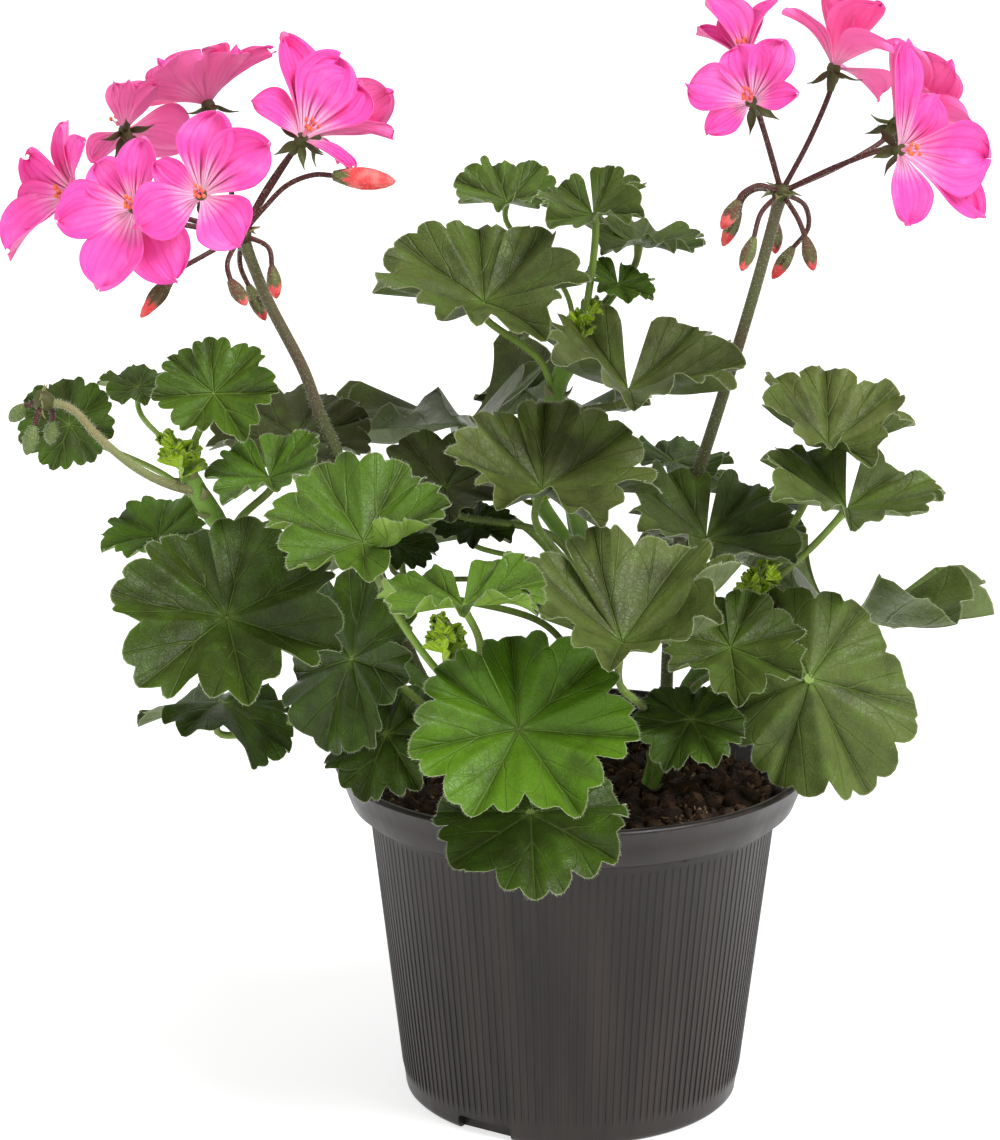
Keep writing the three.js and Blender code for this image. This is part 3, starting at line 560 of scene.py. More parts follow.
@dataclass
class Patch:
    """A part of a piece's mesh, in one material.

    Attributes:
        points: the vertices, in millimetres.
        corners: the vertex numbers of all faces, one after the other.
        sizes: how many corners each face has.
        material: the finish.
        uv: a pair of numbers for each vertex.
        values: further numbers for each vertex, by name.
    """

    points: np.ndarray
    corners: np.ndarray
    sizes: np.ndarray
    material: bpy.types.Material
    uv: np.ndarray | None = None
    values: dict[str, np.ndarray] = field(default_factory=dict)

    @classmethod
    def read(cls, mesh: bpy.types.Mesh, material: bpy.types.Material) -> "Patch":
        """Returns what a mesh in metres holds."""
        points = np.empty(len(mesh.vertices) * 3)
        corners = np.empty(len(mesh.loops), np.int32)
        sizes = np.empty(len(mesh.polygons), np.int32)
        mesh.vertices.foreach_get("co", points)
        mesh.loops.foreach_get("vertex_index", corners)
        mesh.polygons.foreach_get("loop_total", sizes)
        return cls(points.reshape(-1, 3) / MM, corners, sizes, material)

    def mesh(self, name: str) -> bpy.types.Mesh:
        """Returns the patch alone as a mesh in metres."""
        return joined(name, [self])


def joined(name: str, patches: list[Patch]) -> bpy.types.Mesh:
    """Joins patches.

    Args:
        name: the mesh's name.
        patches: the parts, each in its own material.

    Returns:
        One smooth mesh in metres, with a material slot for each finish.
    """
    mesh = bpy.data.meshes.new(name)
    starts = np.cumsum([0] + [len(p.points) for p in patches])
    corners = np.concatenate([p.corners + start for p, start in zip(patches, starts)])
    sizes = np.concatenate([p.sizes for p in patches])
    points = np.concatenate([p.points for p in patches])
    mesh.vertices.add(len(points))
    mesh.vertices.foreach_set("co", (points * MM).ravel())
    mesh.loops.add(len(corners))
    mesh.loops.foreach_set("vertex_index", corners.astype(np.int32))
    mesh.polygons.add(len(sizes))
    mesh.polygons.foreach_set("loop_start", np.concatenate([[0], np.cumsum(sizes)[:-1]]).astype(np.int32))
    mesh.polygons.foreach_set("loop_total", sizes.astype(np.int32))
    finishes = list(dict.fromkeys(p.material for p in patches))
    for finish in finishes:
        mesh.materials.append(finish)
    slots = np.concatenate([np.full(len(p.sizes), finishes.index(p.material)) for p in patches])
    mesh.polygons.foreach_set("material_index", slots.astype(np.int32))
    mesh.polygons.foreach_set("use_smooth", np.ones(len(sizes), bool))
    uv = np.concatenate([np.zeros((len(p.points), 2)) if p.uv is None else p.uv for p in patches])
    mesh.uv_layers.new(name="UVMap").data.foreach_set("uv", uv[corners].ravel())
    for key in sorted({key for p in patches for key in p.values}):
        numbers = np.concatenate([p.values.get(key, np.zeros(len(p.points))) for p in patches])
        mesh.attributes.new(key, "FLOAT", "POINT").data.foreach_set("value", numbers)
    mesh.update(calc_edges=True)
    mesh.validate()
    return mesh


def sheet(
    top: np.ndarray, under: np.ndarray, uv: np.ndarray, material: bpy.types.Material, **values: float
) -> Patch:
    """Closes two skins to a thin solid.

    Args:
        top: a grid of points, rows by columns; rows cross columns towards the outside.
        under: the same grid on the other side.
        uv: a pair of numbers for each point of the grid.
        material: the finish of both skins.
        values: numbers that the whole sheet carries.

    Returns:
        The closed patch, which also carries "upper": 1 on top and 0 beneath.
    """
    rows, columns = top.shape[:2]
    at = np.arange(rows * columns).reshape(rows, columns)
    skin = np.stack([at[:-1, :-1], at[1:, :-1], at[1:, 1:], at[:-1, 1:]], axis=-1).reshape(-1, 4)
    loop = np.concatenate([at[:-1, 0], at[-1, :-1], at[:0:-1, -1], at[0, :0:-1]])
    after = np.roll(loop, -1)
    below = rows * columns
    wall = np.stack([after, loop, loop + below, after + below], axis=1)
    faces = np.concatenate([skin, skin[:, ::-1] + below, wall])
    points = np.concatenate([top.reshape(-1, 3), under.reshape(-1, 3)])
    carried = {key: np.full(len(points), value, float) for key, value in values.items()}
    carried["upper"] = np.repeat([1.0, 0.0], below)
    twice = np.concatenate([uv.reshape(-1, 2)] * 2)
    return Patch(points, faces.ravel(), np.full(len(faces), 4), material, twice, carried)


def normals(grid: np.ndarray) -> np.ndarray:
    """Returns the direction square to a grid of points at each of them."""
    return unit(np.cross(np.gradient(grid, axis=0), np.gradient(grid, axis=1)))


def tube_faces(rings: int, sides: int) -> tuple[np.ndarray, np.ndarray]:
    """Joins rings of vertices to a closed tube.

    Args:
        rings: how many rings follow each other.
        sides: how many vertices each ring has.

    Returns:
        The corners and the face sizes, ring by ring, and the two ends last.
    """
    at = np.arange(rings * sides).reshape(rings, sides)
    right = np.roll(at, -1, axis=1)
    quads = np.stack([at[:-1], at[1:], right[1:], right[:-1]], axis=-1).reshape(-1, 4)
    corners = np.concatenate([quads.ravel(), at[0], at[-1, ::-1]])
    return corners, np.array([4] * len(quads) + [sides] * 2)


def turned_solid(
    base: np.ndarray,
    axis: np.ndarray,
    profile: np.ndarray,
    sides: int,
    material: bpy.types.Material,
    **values: float,
) -> Patch:
    """Turns a profile about an axis.

    Args:
        base: where the axis starts.
        axis: the axis as a direction.
        profile: rows of radius and height; the first and the last lie on the axis.
        sides: how many faces go round.
        material: the finish.
        values: numbers that the whole patch carries.

    Returns:
        The closed patch; its UV map runs round and then along.
    """
    seat = unit(np.cross(axis, [0.31, 0.93, 0.17]))
    across = np.cross(axis, seat)
    angle = np.arange(sides) * 2 * math.pi / sides
    ring = np.cos(angle)[:, None] * seat + np.sin(angle)[:, None] * across
    radius, height = profile[1:-1, 0], profile[1:-1, 1]
    body = base + ring[None] * radius[:, None, None] + axis * height[:, None, None]
    rings = len(radius)
    ends = [base + axis * profile[0, 1], base + axis * profile[-1, 1]]
    points = np.concatenate([body.reshape(-1, 3), np.array(ends)])
    at = np.arange(rings * sides).reshape(rings, sides)
    right = np.roll(at, -1, axis=1)
    quads = np.stack([at[:-1], right[:-1], right[1:], at[1:]], axis=-1).reshape(-1, 4)
    low, high = rings * sides, rings * sides + 1
    caps = np.concatenate(
        [
            np.stack([right[0], at[0], np.full(sides, low)], axis=1),
            np.stack([at[-1], right[-1], np.full(sides, high)], axis=1),
        ]
    )
    span = profile[-1, 1] - profile[0, 1]
    along = (profile[:, 1] - profile[0, 1]) / span
    places = np.meshgrid(along[1:-1], angle / (2 * math.pi), indexing="ij")
    uv = np.stack(places[::-1], axis=-1).reshape(-1, 2)
    uv = np.concatenate([uv, [[0.5, along[0]], [0.5, along[-1]]]])
    carried = {key: np.full(len(points), value, float) for key, value in values.items()}
    corners = np.concatenate([quads.ravel(), caps.ravel()])
    sizes = np.concatenate([np.full(len(quads), 4), np.full(len(caps), 3)])
    return Patch(points, corners, sizes, material, uv, carried)


# Geometry tools


class Tool(NodeMaker):
    """A group of geometry nodes with named inputs, run on one mesh at a time."""

    def __init__(self, name: str, sockets: dict[str, str]) -> None:
        """Starts the group.

        Args:
            name: the group's name.
            sockets: the inputs' names and types, besides the geometry and the material.
        """
        tree = bpy.data.node_groups.new(name, "GeometryNodeTree")
        tree.is_modifier = True
        tree.interface.new_socket("Geometry", in_out="INPUT", socket_type="NodeSocketGeometry")
        for key, kind in (sockets | {"Material": "Material"}).items():
            tree.interface.new_socket(key, in_out="INPUT", socket_type=f"NodeSocket{kind}")
        tree.interface.new_socket("Geometry", in_out="OUTPUT", socket_type="NodeSocketGeometry")
        super().__init__(tree)
        self.given = self.node("NodeGroupInput").outputs

    def close(self, geometry: bpy.types.NodeSocket) -> None:
        """Makes the geometry real, gives it the material and puts it out."""
        real = self.node("GeometryNodeRealizeInstances", inputs={0: geometry})
        dressed = {"Geometry": real.outputs[0], "Material": self.given["Material"]}
        shown = self.node("GeometryNodeSetMaterial", inputs=dressed)
        self.node("NodeGroupOutput", inputs={0: shown.outputs[0]})

    def spread(self, low: object, high: object, seed: int = 0) -> bpy.types.NodeSocket:
        """Returns a random number from low to high for each point."""
        ends = {2: low, 3: high, "Seed": seed}
        return self.node("FunctionNodeRandomValue", {"data_type": "FLOAT"}, ends).outputs[1]

    def leant(self, way: bpy.types.NodeSocket, low: object, high: object) -> bpy.types.NodeSocket:
        """Turns a rotation further at random.

        Args:
            way: the rotation.
            low: the three least angles, plain or linked.
            high: the three greatest angles, plain or linked.

        Returns:
            The new rotation.
        """
        lean = self.node("FunctionNodeRandomValue", {"data_type": "FLOAT_VECTOR"}, {0: low, 1: high})
        both = {0: way, 1: lean.outputs[0]}
        return self.node("FunctionNodeRotateRotation", {"rotation_space": "LOCAL"}, both).outputs[0]

    def hair(self) -> bpy.types.NodeSocket:
        """Returns one hair, as wide and as long as the inputs say."""
        sizes = {"Vertices": 3, "Radius Bottom": self.given["Width"], "Depth": self.given["Length"]}
        return self.node("GeometryNodeMeshCone", {"fill_type": "NONE"}, sizes).outputs["Mesh"]

    def strewn(self) -> bpy.types.Node:
        """Returns the node that strews points over the faces, as densely as the inputs say."""
        inputs = {"Mesh": self.given["Geometry"]} | {key: self.given[key] for key in ("Density", "Seed")}
        return self.node("GeometryNodeDistributePointsOnFaces", inputs=inputs)

    def carried(self, name: str, kind: str) -> bpy.types.NodeSocket:
        """Returns what the points carry under that name; kind is its data type."""
        return self.node("GeometryNodeInputNamedAttribute", {"data_type": kind}, {"Name": name}).outputs[0]

    def plant(
        self,
        spots: bpy.types.NodeSocket,
        shape: bpy.types.NodeSocket,
        way: bpy.types.NodeSocket,
        size: object,
    ) -> None:
        """Puts a shape on every spot and closes the group.

        Args:
            spots: the points.
            shape: the geometry that each of them gets.
            way: its rotation.
            size: its scale, plain or linked.
        """
        inputs = {"Points": spots, "Instance": shape, "Rotation": way, "Scale": size}
        self.close(self.node("GeometryNodeInstanceOnPoints", inputs=inputs).outputs[0])

    def run(self, mesh: bpy.types.Mesh, material: bpy.types.Material, **inputs: object) -> Patch:
        """Runs the group.

        Args:
            mesh: what the geometry input gets; it is used up.
            material: the finish.
            inputs: values for the named inputs, with _ for a space.

        Returns:
            What the group makes.
        """
        block = bpy.data.objects.new(mesh.name, mesh)
        bpy.context.scene.collection.objects.link(block)
        modifier = block.modifiers.new(self.tree.name, "NODES")
        modifier.node_group = self.tree
        names = {i.name: i.identifier for i in self.tree.interface.items_tree if i.in_out == "INPUT"}
        for key, value in (inputs | {"Material": material}).items():
            modifier[names[key.replace("_", " ")]] = value
        block.update_tag()
        depsgraph = bpy.context.evaluated_depsgraph_get()
        made = bpy.data.meshes.new_from_object(block.evaluated_get(depsgraph), depsgraph=depsgraph)
        patch = Patch.read(made, material)
        block.modifiers.clear()
        bpy.data.objects.remove(block)
        bpy.data.meshes.remove(mesh)
        bpy.data.meshes.remove(made)
        return patch


def tube_tool() -> Tool:
    """Returns the tool that gives lines their thickness, from the radius they carry."""
    tool = Tool("stalk along a line", {"Sides": "Int"})
    line = tool.node("GeometryNodeMeshToCurve", inputs={0: tool.given["Geometry"]}).outputs[0]
    circle = {"Resolution": tool.given["Sides"], "Radius": 1.0}
    ring = tool.node("GeometryNodeCurvePrimitiveCircle", inputs=circle).outputs[0]
    thickness = tool.carried("radius", "FLOAT")
    inputs = {"Curve": line, "Profile Curve": ring, "Scale": thickness, "Fill Caps": True}
    tool.close(tool.node("GeometryNodeCurveToMesh", inputs=inputs).outputs[0])
    return tool


def hair_tool() -> Tool:
    """Returns the tool that grows short hairs on a skin."""
    tool = Tool("hairs on a skin", {"Density": "Float", "Length": "Float", "Width": "Float", "Seed": "Int"})
    spots = tool.strewn()
    way = tool.leant(spots.outputs["Rotation"], (-0.55, -0.55, 0.0), (0.55, 0.55, ANY_TURN))
    tool.plant(spots.outputs["Points"], tool.hair(), way, tool.spread(0.5, 1.2, 3))
    return tool


def fringe_tool() -> Tool:
    """Returns the tool that grows hairs out from a line, the way the line's points say."""
    tool = Tool("hairs along a margin", {"Spacing": "Float", "Length": "Float", "Width": "Float"})
    line = tool.node("GeometryNodeMeshToCurve", inputs={0: tool.given["Geometry"]}).outputs[0]
    inputs = {"Curve": line, "Length": tool.given["Spacing"]}
    spots = tool.node("GeometryNodeCurveToPoints", {"mode": "LENGTH"}, inputs)
    out = tool.carried("outward", "FLOAT_VECTOR")
    aim = tool.node("FunctionNodeAlignRotationToVector", {"axis": "Z"}, {"Vector": out})
    way = tool.leant(aim.outputs[0], (-0.5, -0.5, 0.0), (0.5, 0.5, ANY_TURN))
    tool.plant(spots.outputs["Points"], tool.hair(), way, tool.spread(0.5, 1.2, 4))
    return tool


def scatter_tool() -> Tool:
    """Returns the tool that strews an object over a surface, turned every way."""
    sockets = {"Density": "Float", "Seed": "Int", "Smallest": "Float", "Largest": "Float", "Tilt": "Float"}
    tool = Tool("crumbs on a surface", sockets | {"Crumb": "Object"})
    spots = tool.strewn()
    crumb = tool.node("GeometryNodeObjectInfo", inputs={"Object": tool.given["Crumb"]})
    lean = tool.given["Tilt"]
    tilt = tool.node("ShaderNodeCombineXYZ", inputs={0: lean, 1: lean, 2: ANY_TURN})
    back = tool.node("ShaderNodeVectorMath", {"operation": "SCALE"}, {0: tilt.outputs[0], "Scale": -1.0})
    way = tool.leant(spots.outputs["Rotation"], back.outputs[0], tilt.outputs[0])
    size = tool.spread(tool.given["Smallest"], tool.given["Largest"])
    tool.plant(spots.outputs["Points"], crumb.outputs["Geometry"], way, size)
    return tool


def ring_tool() -> Tool:
    """Returns the tool that repeats a mesh round the upright axis."""
    tool = Tool("ribs round an axis", {"Count": "Int"})
    spots = tool.node("GeometryNodePoints", inputs={"Count": tool.given["Count"]})
    index = Number(tool, tool.node("GeometryNodeInputIndex").outputs[0])
    angle = index * 2 * math.pi / Number(tool, tool.given["Count"])
    turn = tool.node("ShaderNodeCombineXYZ", inputs={2: angle})
    tool.plant(spots.outputs[0], tool.given["Geometry"], turn.outputs[0], (1, 1, 1))
    return tool


def polyline(name: str, lines: list[np.ndarray]) -> bpy.types.Mesh:
    """Returns a mesh in metres with edges along the lines."""
    mesh = bpy.data.meshes.new(name)
    points = np.concatenate(lines) * MM
    starts = np.cumsum([0] + [len(line) for line in lines])
    spans = [np.arange(first, after - 1) for first, after in zip(starts, starts[1:])]
    edges = np.concatenate([np.stack([span, span + 1], axis=1) for span in spans])
    mesh.from_pydata(points.tolist(), edges.tolist(), [])
    return mesh


# Small parts of the plant


@dataclass
class Workshop:
    """The finishes and the geometry tools that all sub-assemblies share."""

    finishes: dict[str, bpy.types.Material]
    tube: Tool
    hairs: Tool
    fringe: Tool
    scatter: Tool
    ring: Tool

    @classmethod
    def open(cls) -> "Workshop":
        """Makes every finish and tool once."""
        finishes = {
            "leaf": LeafFinish().material(),
            "petal": PetalFinish().material(),
            "bud": BudFinish().material(),
            "pot": PotFinish().material(),
            "compost": CompostFinish().material(),
            "stem": StalkFinish("stem_skin", (0.20, 0.36, 0.045), (0.11, 0.20, 0.03)).material(),
            "petiole": StalkFinish("petiole_skin", (0.22, 0.36, 0.05), (0.12, 0.15, 0.03)).material(),
            "peduncle": StalkFinish("peduncle_skin", (0.12, 0.085, 0.05), (0.10, 0.12, 0.04)).material(),
            "pedicel": StalkFinish("pedicel_skin", (0.055, 0.008, 0.010), (0.085, 0.028, 0.018)).material(),
            "sepal": StalkFinish("sepal_skin", (0.075, 0.10, 0.02), (0.055, 0.02, 0.012)).material(),
            "stipule": StalkFinish("stipule_skin", (0.17, 0.22, 0.07), (0.25, 0.20, 0.09), 0.65).material(),
            "anther": StalkFinish("anther_skin", (0.85, 0.22, 0.08), (0.75, 0.10, 0.10), 0.6).material(),
            "filament": StalkFinish("filament_skin", (0.95, 0.45, 0.60), (0.90, 0.25, 0.45)).material(),
            "hair": StalkFinish("plant_hair", (0.62, 0.66, 0.50), (0.72, 0.74, 0.62), 0.4).material(),
            "crumb": CompostFinish("peat_crumb", (0.022, 0.011, 0.007), (0.085, 0.042, 0.02)).material(),
            "fibre": CompostFinish(
                "peat_fibre", (0.20, 0.12, 0.06), (0.34, 0.22, 0.12), (0.5, 0.36, 0.22)
            ).material(),
            "grit": CompostFinish(
                "pale_grit", (0.62, 0.60, 0.55), (0.75, 0.73, 0.68), (0.85, 0.84, 0.8)
            ).material(),
        }
        return cls(finishes, tube_tool(), hair_tool(), fringe_tool(), scatter_tool(), ring_tool())

    def fur(self, skin: Patch, density: float, length: float, seed: int) -> Patch:
        """Grows hairs.

        Args:
            skin: what they grow on.
            density: how many there are on a square millimetre.
            length: their length, more or less.
            seed: which pattern they have.

        Returns:
            The hairs alone.
        """
        return self.hairs.run(
            skin.mesh("hairy skin"),
            self.finishes["hair"],
            Density=density / MM**2,
            Length=length * MM,
            Width=HAIR_WIDTH * MM,
            Seed=seed,
        )

    def stalks(
        self,
        lines: list[np.ndarray],
        radii: list[np.ndarray],
        finish: str,
        sides: int,
        hair: float = 0.0,
    ) -> list[Patch]:
        """Makes round stalks.

        Args:
            lines: the middle line of each.
            radii: the radius at each point of each line.
            finish: the name of the skin's finish.
            sides: how many faces go round.
            hair: how many hairs grow on a square millimetre.

        Returns:
            The skins as one patch, and the hairs as another if there are any.
        """
        path = polyline("stalk", lines)
        thickness = np.concatenate(radii) * MM
        path.attributes.new("radius", "FLOAT", "POINT").data.foreach_set("value", thickness)
        skin = self.tube.run(path, self.finishes[finish], Sides=sides)
        if hair == 0:
            return [skin]
        seed = int(abs(lines[0][0].sum())) + len(lines)
        return [skin, self.fur(skin, density=hair, length=0.85, seed=seed)]


def swollen(line: np.ndarray, radius: float, at: list[float], by: float, reach: float) -> np.ndarray:
    """Gives a stalk its joints.

    Args:
        line: its middle line.
        radius: its radius between the joints.
        at: the places of the joints, as shares of its length.
        by: how much thicker they are, as a share.
        reach: how far each of them spreads.

    Returns:
        The radius at each point of the line.
    """
    step = np.linalg.norm(np.diff(line, axis=0), axis=1)
    along = np.concatenate([[0], np.cumsum(step)])
    swell = sum(np.exp(-(((along - share * along[-1]) / reach) ** 2)) for share in at) if at else 0
    return radius * (1 + by * np.minimum(swell, 1.0)) * np.ones(len(line))


def flap(
    base: np.ndarray, tip: np.ndarray, face: np.ndarray, width: float, curl: float, finish: bpy.types.Material
) -> Patch:
    """Makes a small pointed scale, such as a sepal or a stipule.

    Args:
        base: where it grows from.
        tip: its point.
        face: the way its hollow side looks.
        width: its greatest width.
        curl: how far its middle arches back, as a share of its length.
        finish: its skin.

    Returns:
        The closed scale.
    """
    along = tip - base
    length = float(np.linalg.norm(along))
    along = along / length
    face = unit(face - (face @ along) * along)
    side = np.cross(face, along)
    reach = np.linspace(0, 1, 9)[:, None]
    across = np.linspace(-1, 1, 6)[None, :]
    half = width / 2 * (0.35 + 0.65 * np.sin(math.pi * np.minimum(reach * 1.25, 1) ** 0.8)) * (1 - reach**3)
    lift = 0.45 * half * across**2 - curl * length * np.sin(math.pi * reach) + 0.15 * width
    middle = (
        base
        + along * (reach * length)[..., None]
        + side * (half * across)[..., None]
        + face * lift[..., None]
    )
    thick = 0.13 * face
    uv = np.stack(np.broadcast_arrays((across + 1) / 2, reach), axis=-1)
    return sheet(middle + thick, middle - thick, uv, finish)


# The plant


@dataclass(frozen=True)
class Bend:
    """How a blade departs from flat, in degrees of lift, and its width as a share.

    Attributes:
        cup: the lift all round at the petiole.
        bend: the further lift halfway out.
        seed: which ruffle it has.
        fold: how far its sides fold up against its ends.
        twist: how far one side lifts and the other drops.
        curl: how far the lobes beside the petiole roll up.
        wide: its width, as a share of a round blade's.
        ruffle: the size of the waves at the margin.
        pleat: how deep the blade is folded at each vein.
        gap: half the angle of the notch at the petiole; the sides overlap if it is less than 0.
        flap: a lobe that stands up: its place from -1 to 1 round the blade, its angle and its width.
    """

    cup: float
    bend: float
    seed: int
    fold: float = 0
    twist: float = 0
    curl: float = 0
    wide: float = 1
    ruffle: float = 5
    pleat: float = 5.5
    gap: float = -2.5
    flap: tuple[float, float, float] = (0, 0, 1)


@dataclass(frozen=True)
class Leaf:
    """A scalloped round blade on a petiole.

    Attributes:
        name: what it is called.
        at: where the petiole meets the blade.
        length: from there to the tip of the middle lobe.
        heading: the way the midrib points, in degrees from X towards Y.
        rise: how far the midrib points up, in degrees.
        roll: the turn of the blade about its midrib, in degrees.
        bend: how the blade departs from flat.
        on: the stem that carries it and how far along, as a share.
        age: 0 for a bright young leaf, 1 for an old olive-brown one.
        via: points that the petiole passes, if it takes a way of its own.
        bloom: how much painted sheen, a pale grey painted highlight, lies on its skin.
    """

    name: str
    at: Point
    length: float
    heading: float
    rise: float
    roll: float
    bend: Bend
    on: tuple[str, float]
    age: float
    via: list[Point] = field(default_factory=list)
    bloom: float = 0.0

    # Each lobe has so many teeth. The lift is added up in so many steps from the petiole to the margin.
    # A blade that isn't longer than SMALL gets fewer faces.
    TEETH = 3
    THICKNESS = 0.42
    PETIOLE = 1.0
    STEPS = 64
    SMALL = 15

    def axes(self) -> tuple[np.ndarray, np.ndarray, np.ndarray]:
        """Returns the midrib, the side of it and the upper face, as directions."""
        rise, heading = math.radians(self.rise), math.radians(self.heading)
        level = math.cos(rise)
        midrib = np.array([level * math.cos(heading), level * math.sin(heading), math.sin(rise)])
        face = turned(unit(UP - midrib * midrib[2]), midrib, self.roll)
        return midrib, np.cross(face, midrib), face

    def half_turn(self) -> float:
        """Returns the angle from the midrib to the blade's edge beside the notch."""
        return math.pi - math.radians(self.bend.gap)

    def outline(self, share: np.ndarray) -> np.ndarray:
        """Returns the relative radius; share runs from -1 to 1 round the blade."""
        angle = share * self.half_turn()
        lobe = np.minimum((share + 1) / 2 * LOBES, LOBES - 1e-9)
        inside = 2 * (lobe - np.floor(lobe)) - 1
        base = 1 - 0.16 * ((1 - np.cos(angle)) / 2) ** 1.6
        lobes = 1 - 0.13 * np.abs(inside) ** 3 * (1 - np.abs(share) ** 8)
        count = LOBES * self.TEETH
        depths = np.array([0.05 + 0.05 * chance(self.bend.seed, k) for k in range(count)])
        tooth = np.minimum(np.floor(lobe * self.TEETH).astype(int), count - 1)
        teeth = 1 - depths[tooth] * (1 - np.abs(np.sin(math.pi * lobe * self.TEETH)) ** 0.6)
        return base * lobes * teeth * (1 - 0.16 * np.abs(share) ** 30)

    def lift(self, share: np.ndarray, reach: np.ndarray) -> np.ndarray:
        """Works out how steeply the blade leaves its plane.

        Args:
            share: the place round the blade, from -1 to 1.
            reach: the place out from the petiole, from 0 to 1.

        Returns:
            The lift, in radians.
        """
        b = self.bend
        angle = share * self.half_turn()
        lobe = (share + 1) / 2 * LOBES
        waves = sum(
            (0.7 + 0.6 * chance(b.seed, k + 10)) * size * np.sin(k * angle + 2 * math.pi * chance(b.seed, k))
            for k, size in ((2, 0.9), (3, 0.9), (4, 0.9), (5, 0.7), (6, 0.7))
        )
        fine = sum(np.sin(k * angle + 2 * math.pi * chance(b.seed, k)) for k in (11, 14, 19))
        beside = np.minimum((math.pi - np.abs(angle)) / math.radians(95), 1)
        curl = b.curl * np.cos(math.pi / 2 * beside) ** 2 * ((reach + 0.6) / 1.6) ** 0.8
        lift = b.cup + 2 * b.bend * reach - b.fold * np.cos(2 * angle) + b.twist * np.sin(angle) + curl
        lift = lift + 1.3 * b.ruffle * waves * reach**1.2 + 1.3 * b.ruffle * fine * reach**3.5
        lift = lift + 5 * np.sign(angle) * (np.abs(angle) / math.pi) ** 12 * reach**0.5
        pleat = b.pleat * np.cos(2 * math.pi * (lobe - 0.5)) * np.sin(math.pi * reach**0.8)
        place, standing, width = b.flap
        lift = lift + standing * np.exp(-(((share - place) / width) ** 2)) * reach**1.5
        crimp = (2 + 0.4 * b.pleat) * np.cos(2 * math.pi * lobe * self.TEETH) * reach**1.5
        return np.radians(lift - pleat + crimp)

    def surface(self, share: np.ndarray, reach: np.ndarray) -> np.ndarray:
        """Lays out the middle surface of the blade.

        Args:
            share: the places round the blade, from -1 to 1.
            reach: the places out from the petiole, from 0 to 1.

        Returns:
            The points, one row for each reach.
        """
        midrib, side, face = self.axes()
        angle = share * self.half_turn()
        steps = np.linspace(0, 1, self.STEPS + 1)
        middle = (steps[1:] + steps[:-1]) / 2
        lift = self.lift(share[None, :], middle[:, None])
        start = np.zeros(len(share))
        out = np.vstack([start, np.cumsum(np.cos(lift), axis=0) / self.STEPS])
        up = np.vstack([start, np.cumsum(np.sin(lift), axis=0) / self.STEPS])
        place = np.clip(reach * self.STEPS, 0, self.STEPS - 0.001)
        low = place.astype(int)
        part = (place - low)[:, None]
        out, up = (path[low] * (1 - part) + path[low + 1] * part for path in (out, up))
        radius = self.length * self.outline(share)
        return (
            np.array(self.at, float)
            + (out * radius * np.cos(angle))[..., None] * midrib
            + (out * radius * np.sin(angle) * self.bend.wide)[..., None] * side
            + (up * radius)[..., None] * face
        )

    def blade(self, shop: Workshop) -> list[Patch]:
        """Returns the blade, and the short hairs of its margin."""
        steps, rows = (18, 24) if self.length > self.SMALL else (12, 12)
        share = np.linspace(-1, 1, LOBES * steps + 1)
        reach = np.linspace(0.015, 1, rows)[:, None]
        middle = self.surface(share, reach[:, 0])
        square = normals(middle)
        lobe = (share + 1) / 2 * LOBES
        from_vein = np.abs(lobe - np.floor(np.minimum(lobe, LOBES - 1e-9)) - 0.5) * 2 * math.pi / LOBES
        distance = from_vein[None, :] * reach * self.length
        groove = 0.24 * np.exp(-((distance / 0.5) ** 2)) * np.minimum(1, 1.5 - reach)
        half = self.THICKNESS / 2 * (1 - 0.7 * reach**8)
        top = middle + square * (half - groove)[..., None]
        under = middle - square * (half + groove)[..., None]
        uv = np.stack(np.broadcast_arrays((share[None, :] + 1) / 2, reach), axis=-1)
        skin = sheet(top, under, uv, shop.finishes["leaf"], age=self.age, size=self.length, bloom=self.bloom)
        margin = polyline("margin", [middle[-1]])
        outward = unit(middle[-1] - middle[-2])
        margin.attributes.new("outward", "FLOAT_VECTOR", "POINT").data.foreach_set("vector", outward.ravel())
        sizes = {"Spacing": 0.42 * MM, "Length": 0.75 * MM, "Width": HAIR_WIDTH * MM}
        return [skin, shop.fringe.run(margin, shop.finishes["hair"], **sizes)]

    def petiole(self) -> np.ndarray:
        """Returns the middle line of the petiole, from inside its stem to the blade."""
        line = smooth_line(STEMS[self.on[0]][1], 1.0)
        place = self.on[1] * (len(line) - 1)
        low = min(int(place), len(line) - 2)
        start = line[low] + (line[low + 1] - line[low]) * (place - low)
        growth = unit(line[low + 1] - line[low])
        end = np.array(self.at, float)
        if self.via:
            return smooth_line([tuple(start), *self.via, tuple(end)])
        reach = np.linalg.norm(end - start)
        leaving = start + growth * 0.16 * reach
        leaving = leaving + (end - leaving) * 0.25
        arriving = end - self.axes()[2] * 0.13 * reach
        return smooth_line([tuple(start), tuple(leaving), tuple(arriving), tuple(end)])

    def piece(self, shop: Workshop) -> "Piece":
        """Returns the whole leaf."""
        line = self.petiole()
        radius = self.PETIOLE * (0.75 if self.length < 18 else 1.0)
        radii = swollen(line, radius, [0.0, 1.0], 0.35, 2.5)
        stalk = shop.stalks([line], [radii], "petiole", 10, 1.0)
        return Piece(f"{self.name}_leaf", f"leaf_{self.name}", "leaf_blade", stalk + self.blade(shop))


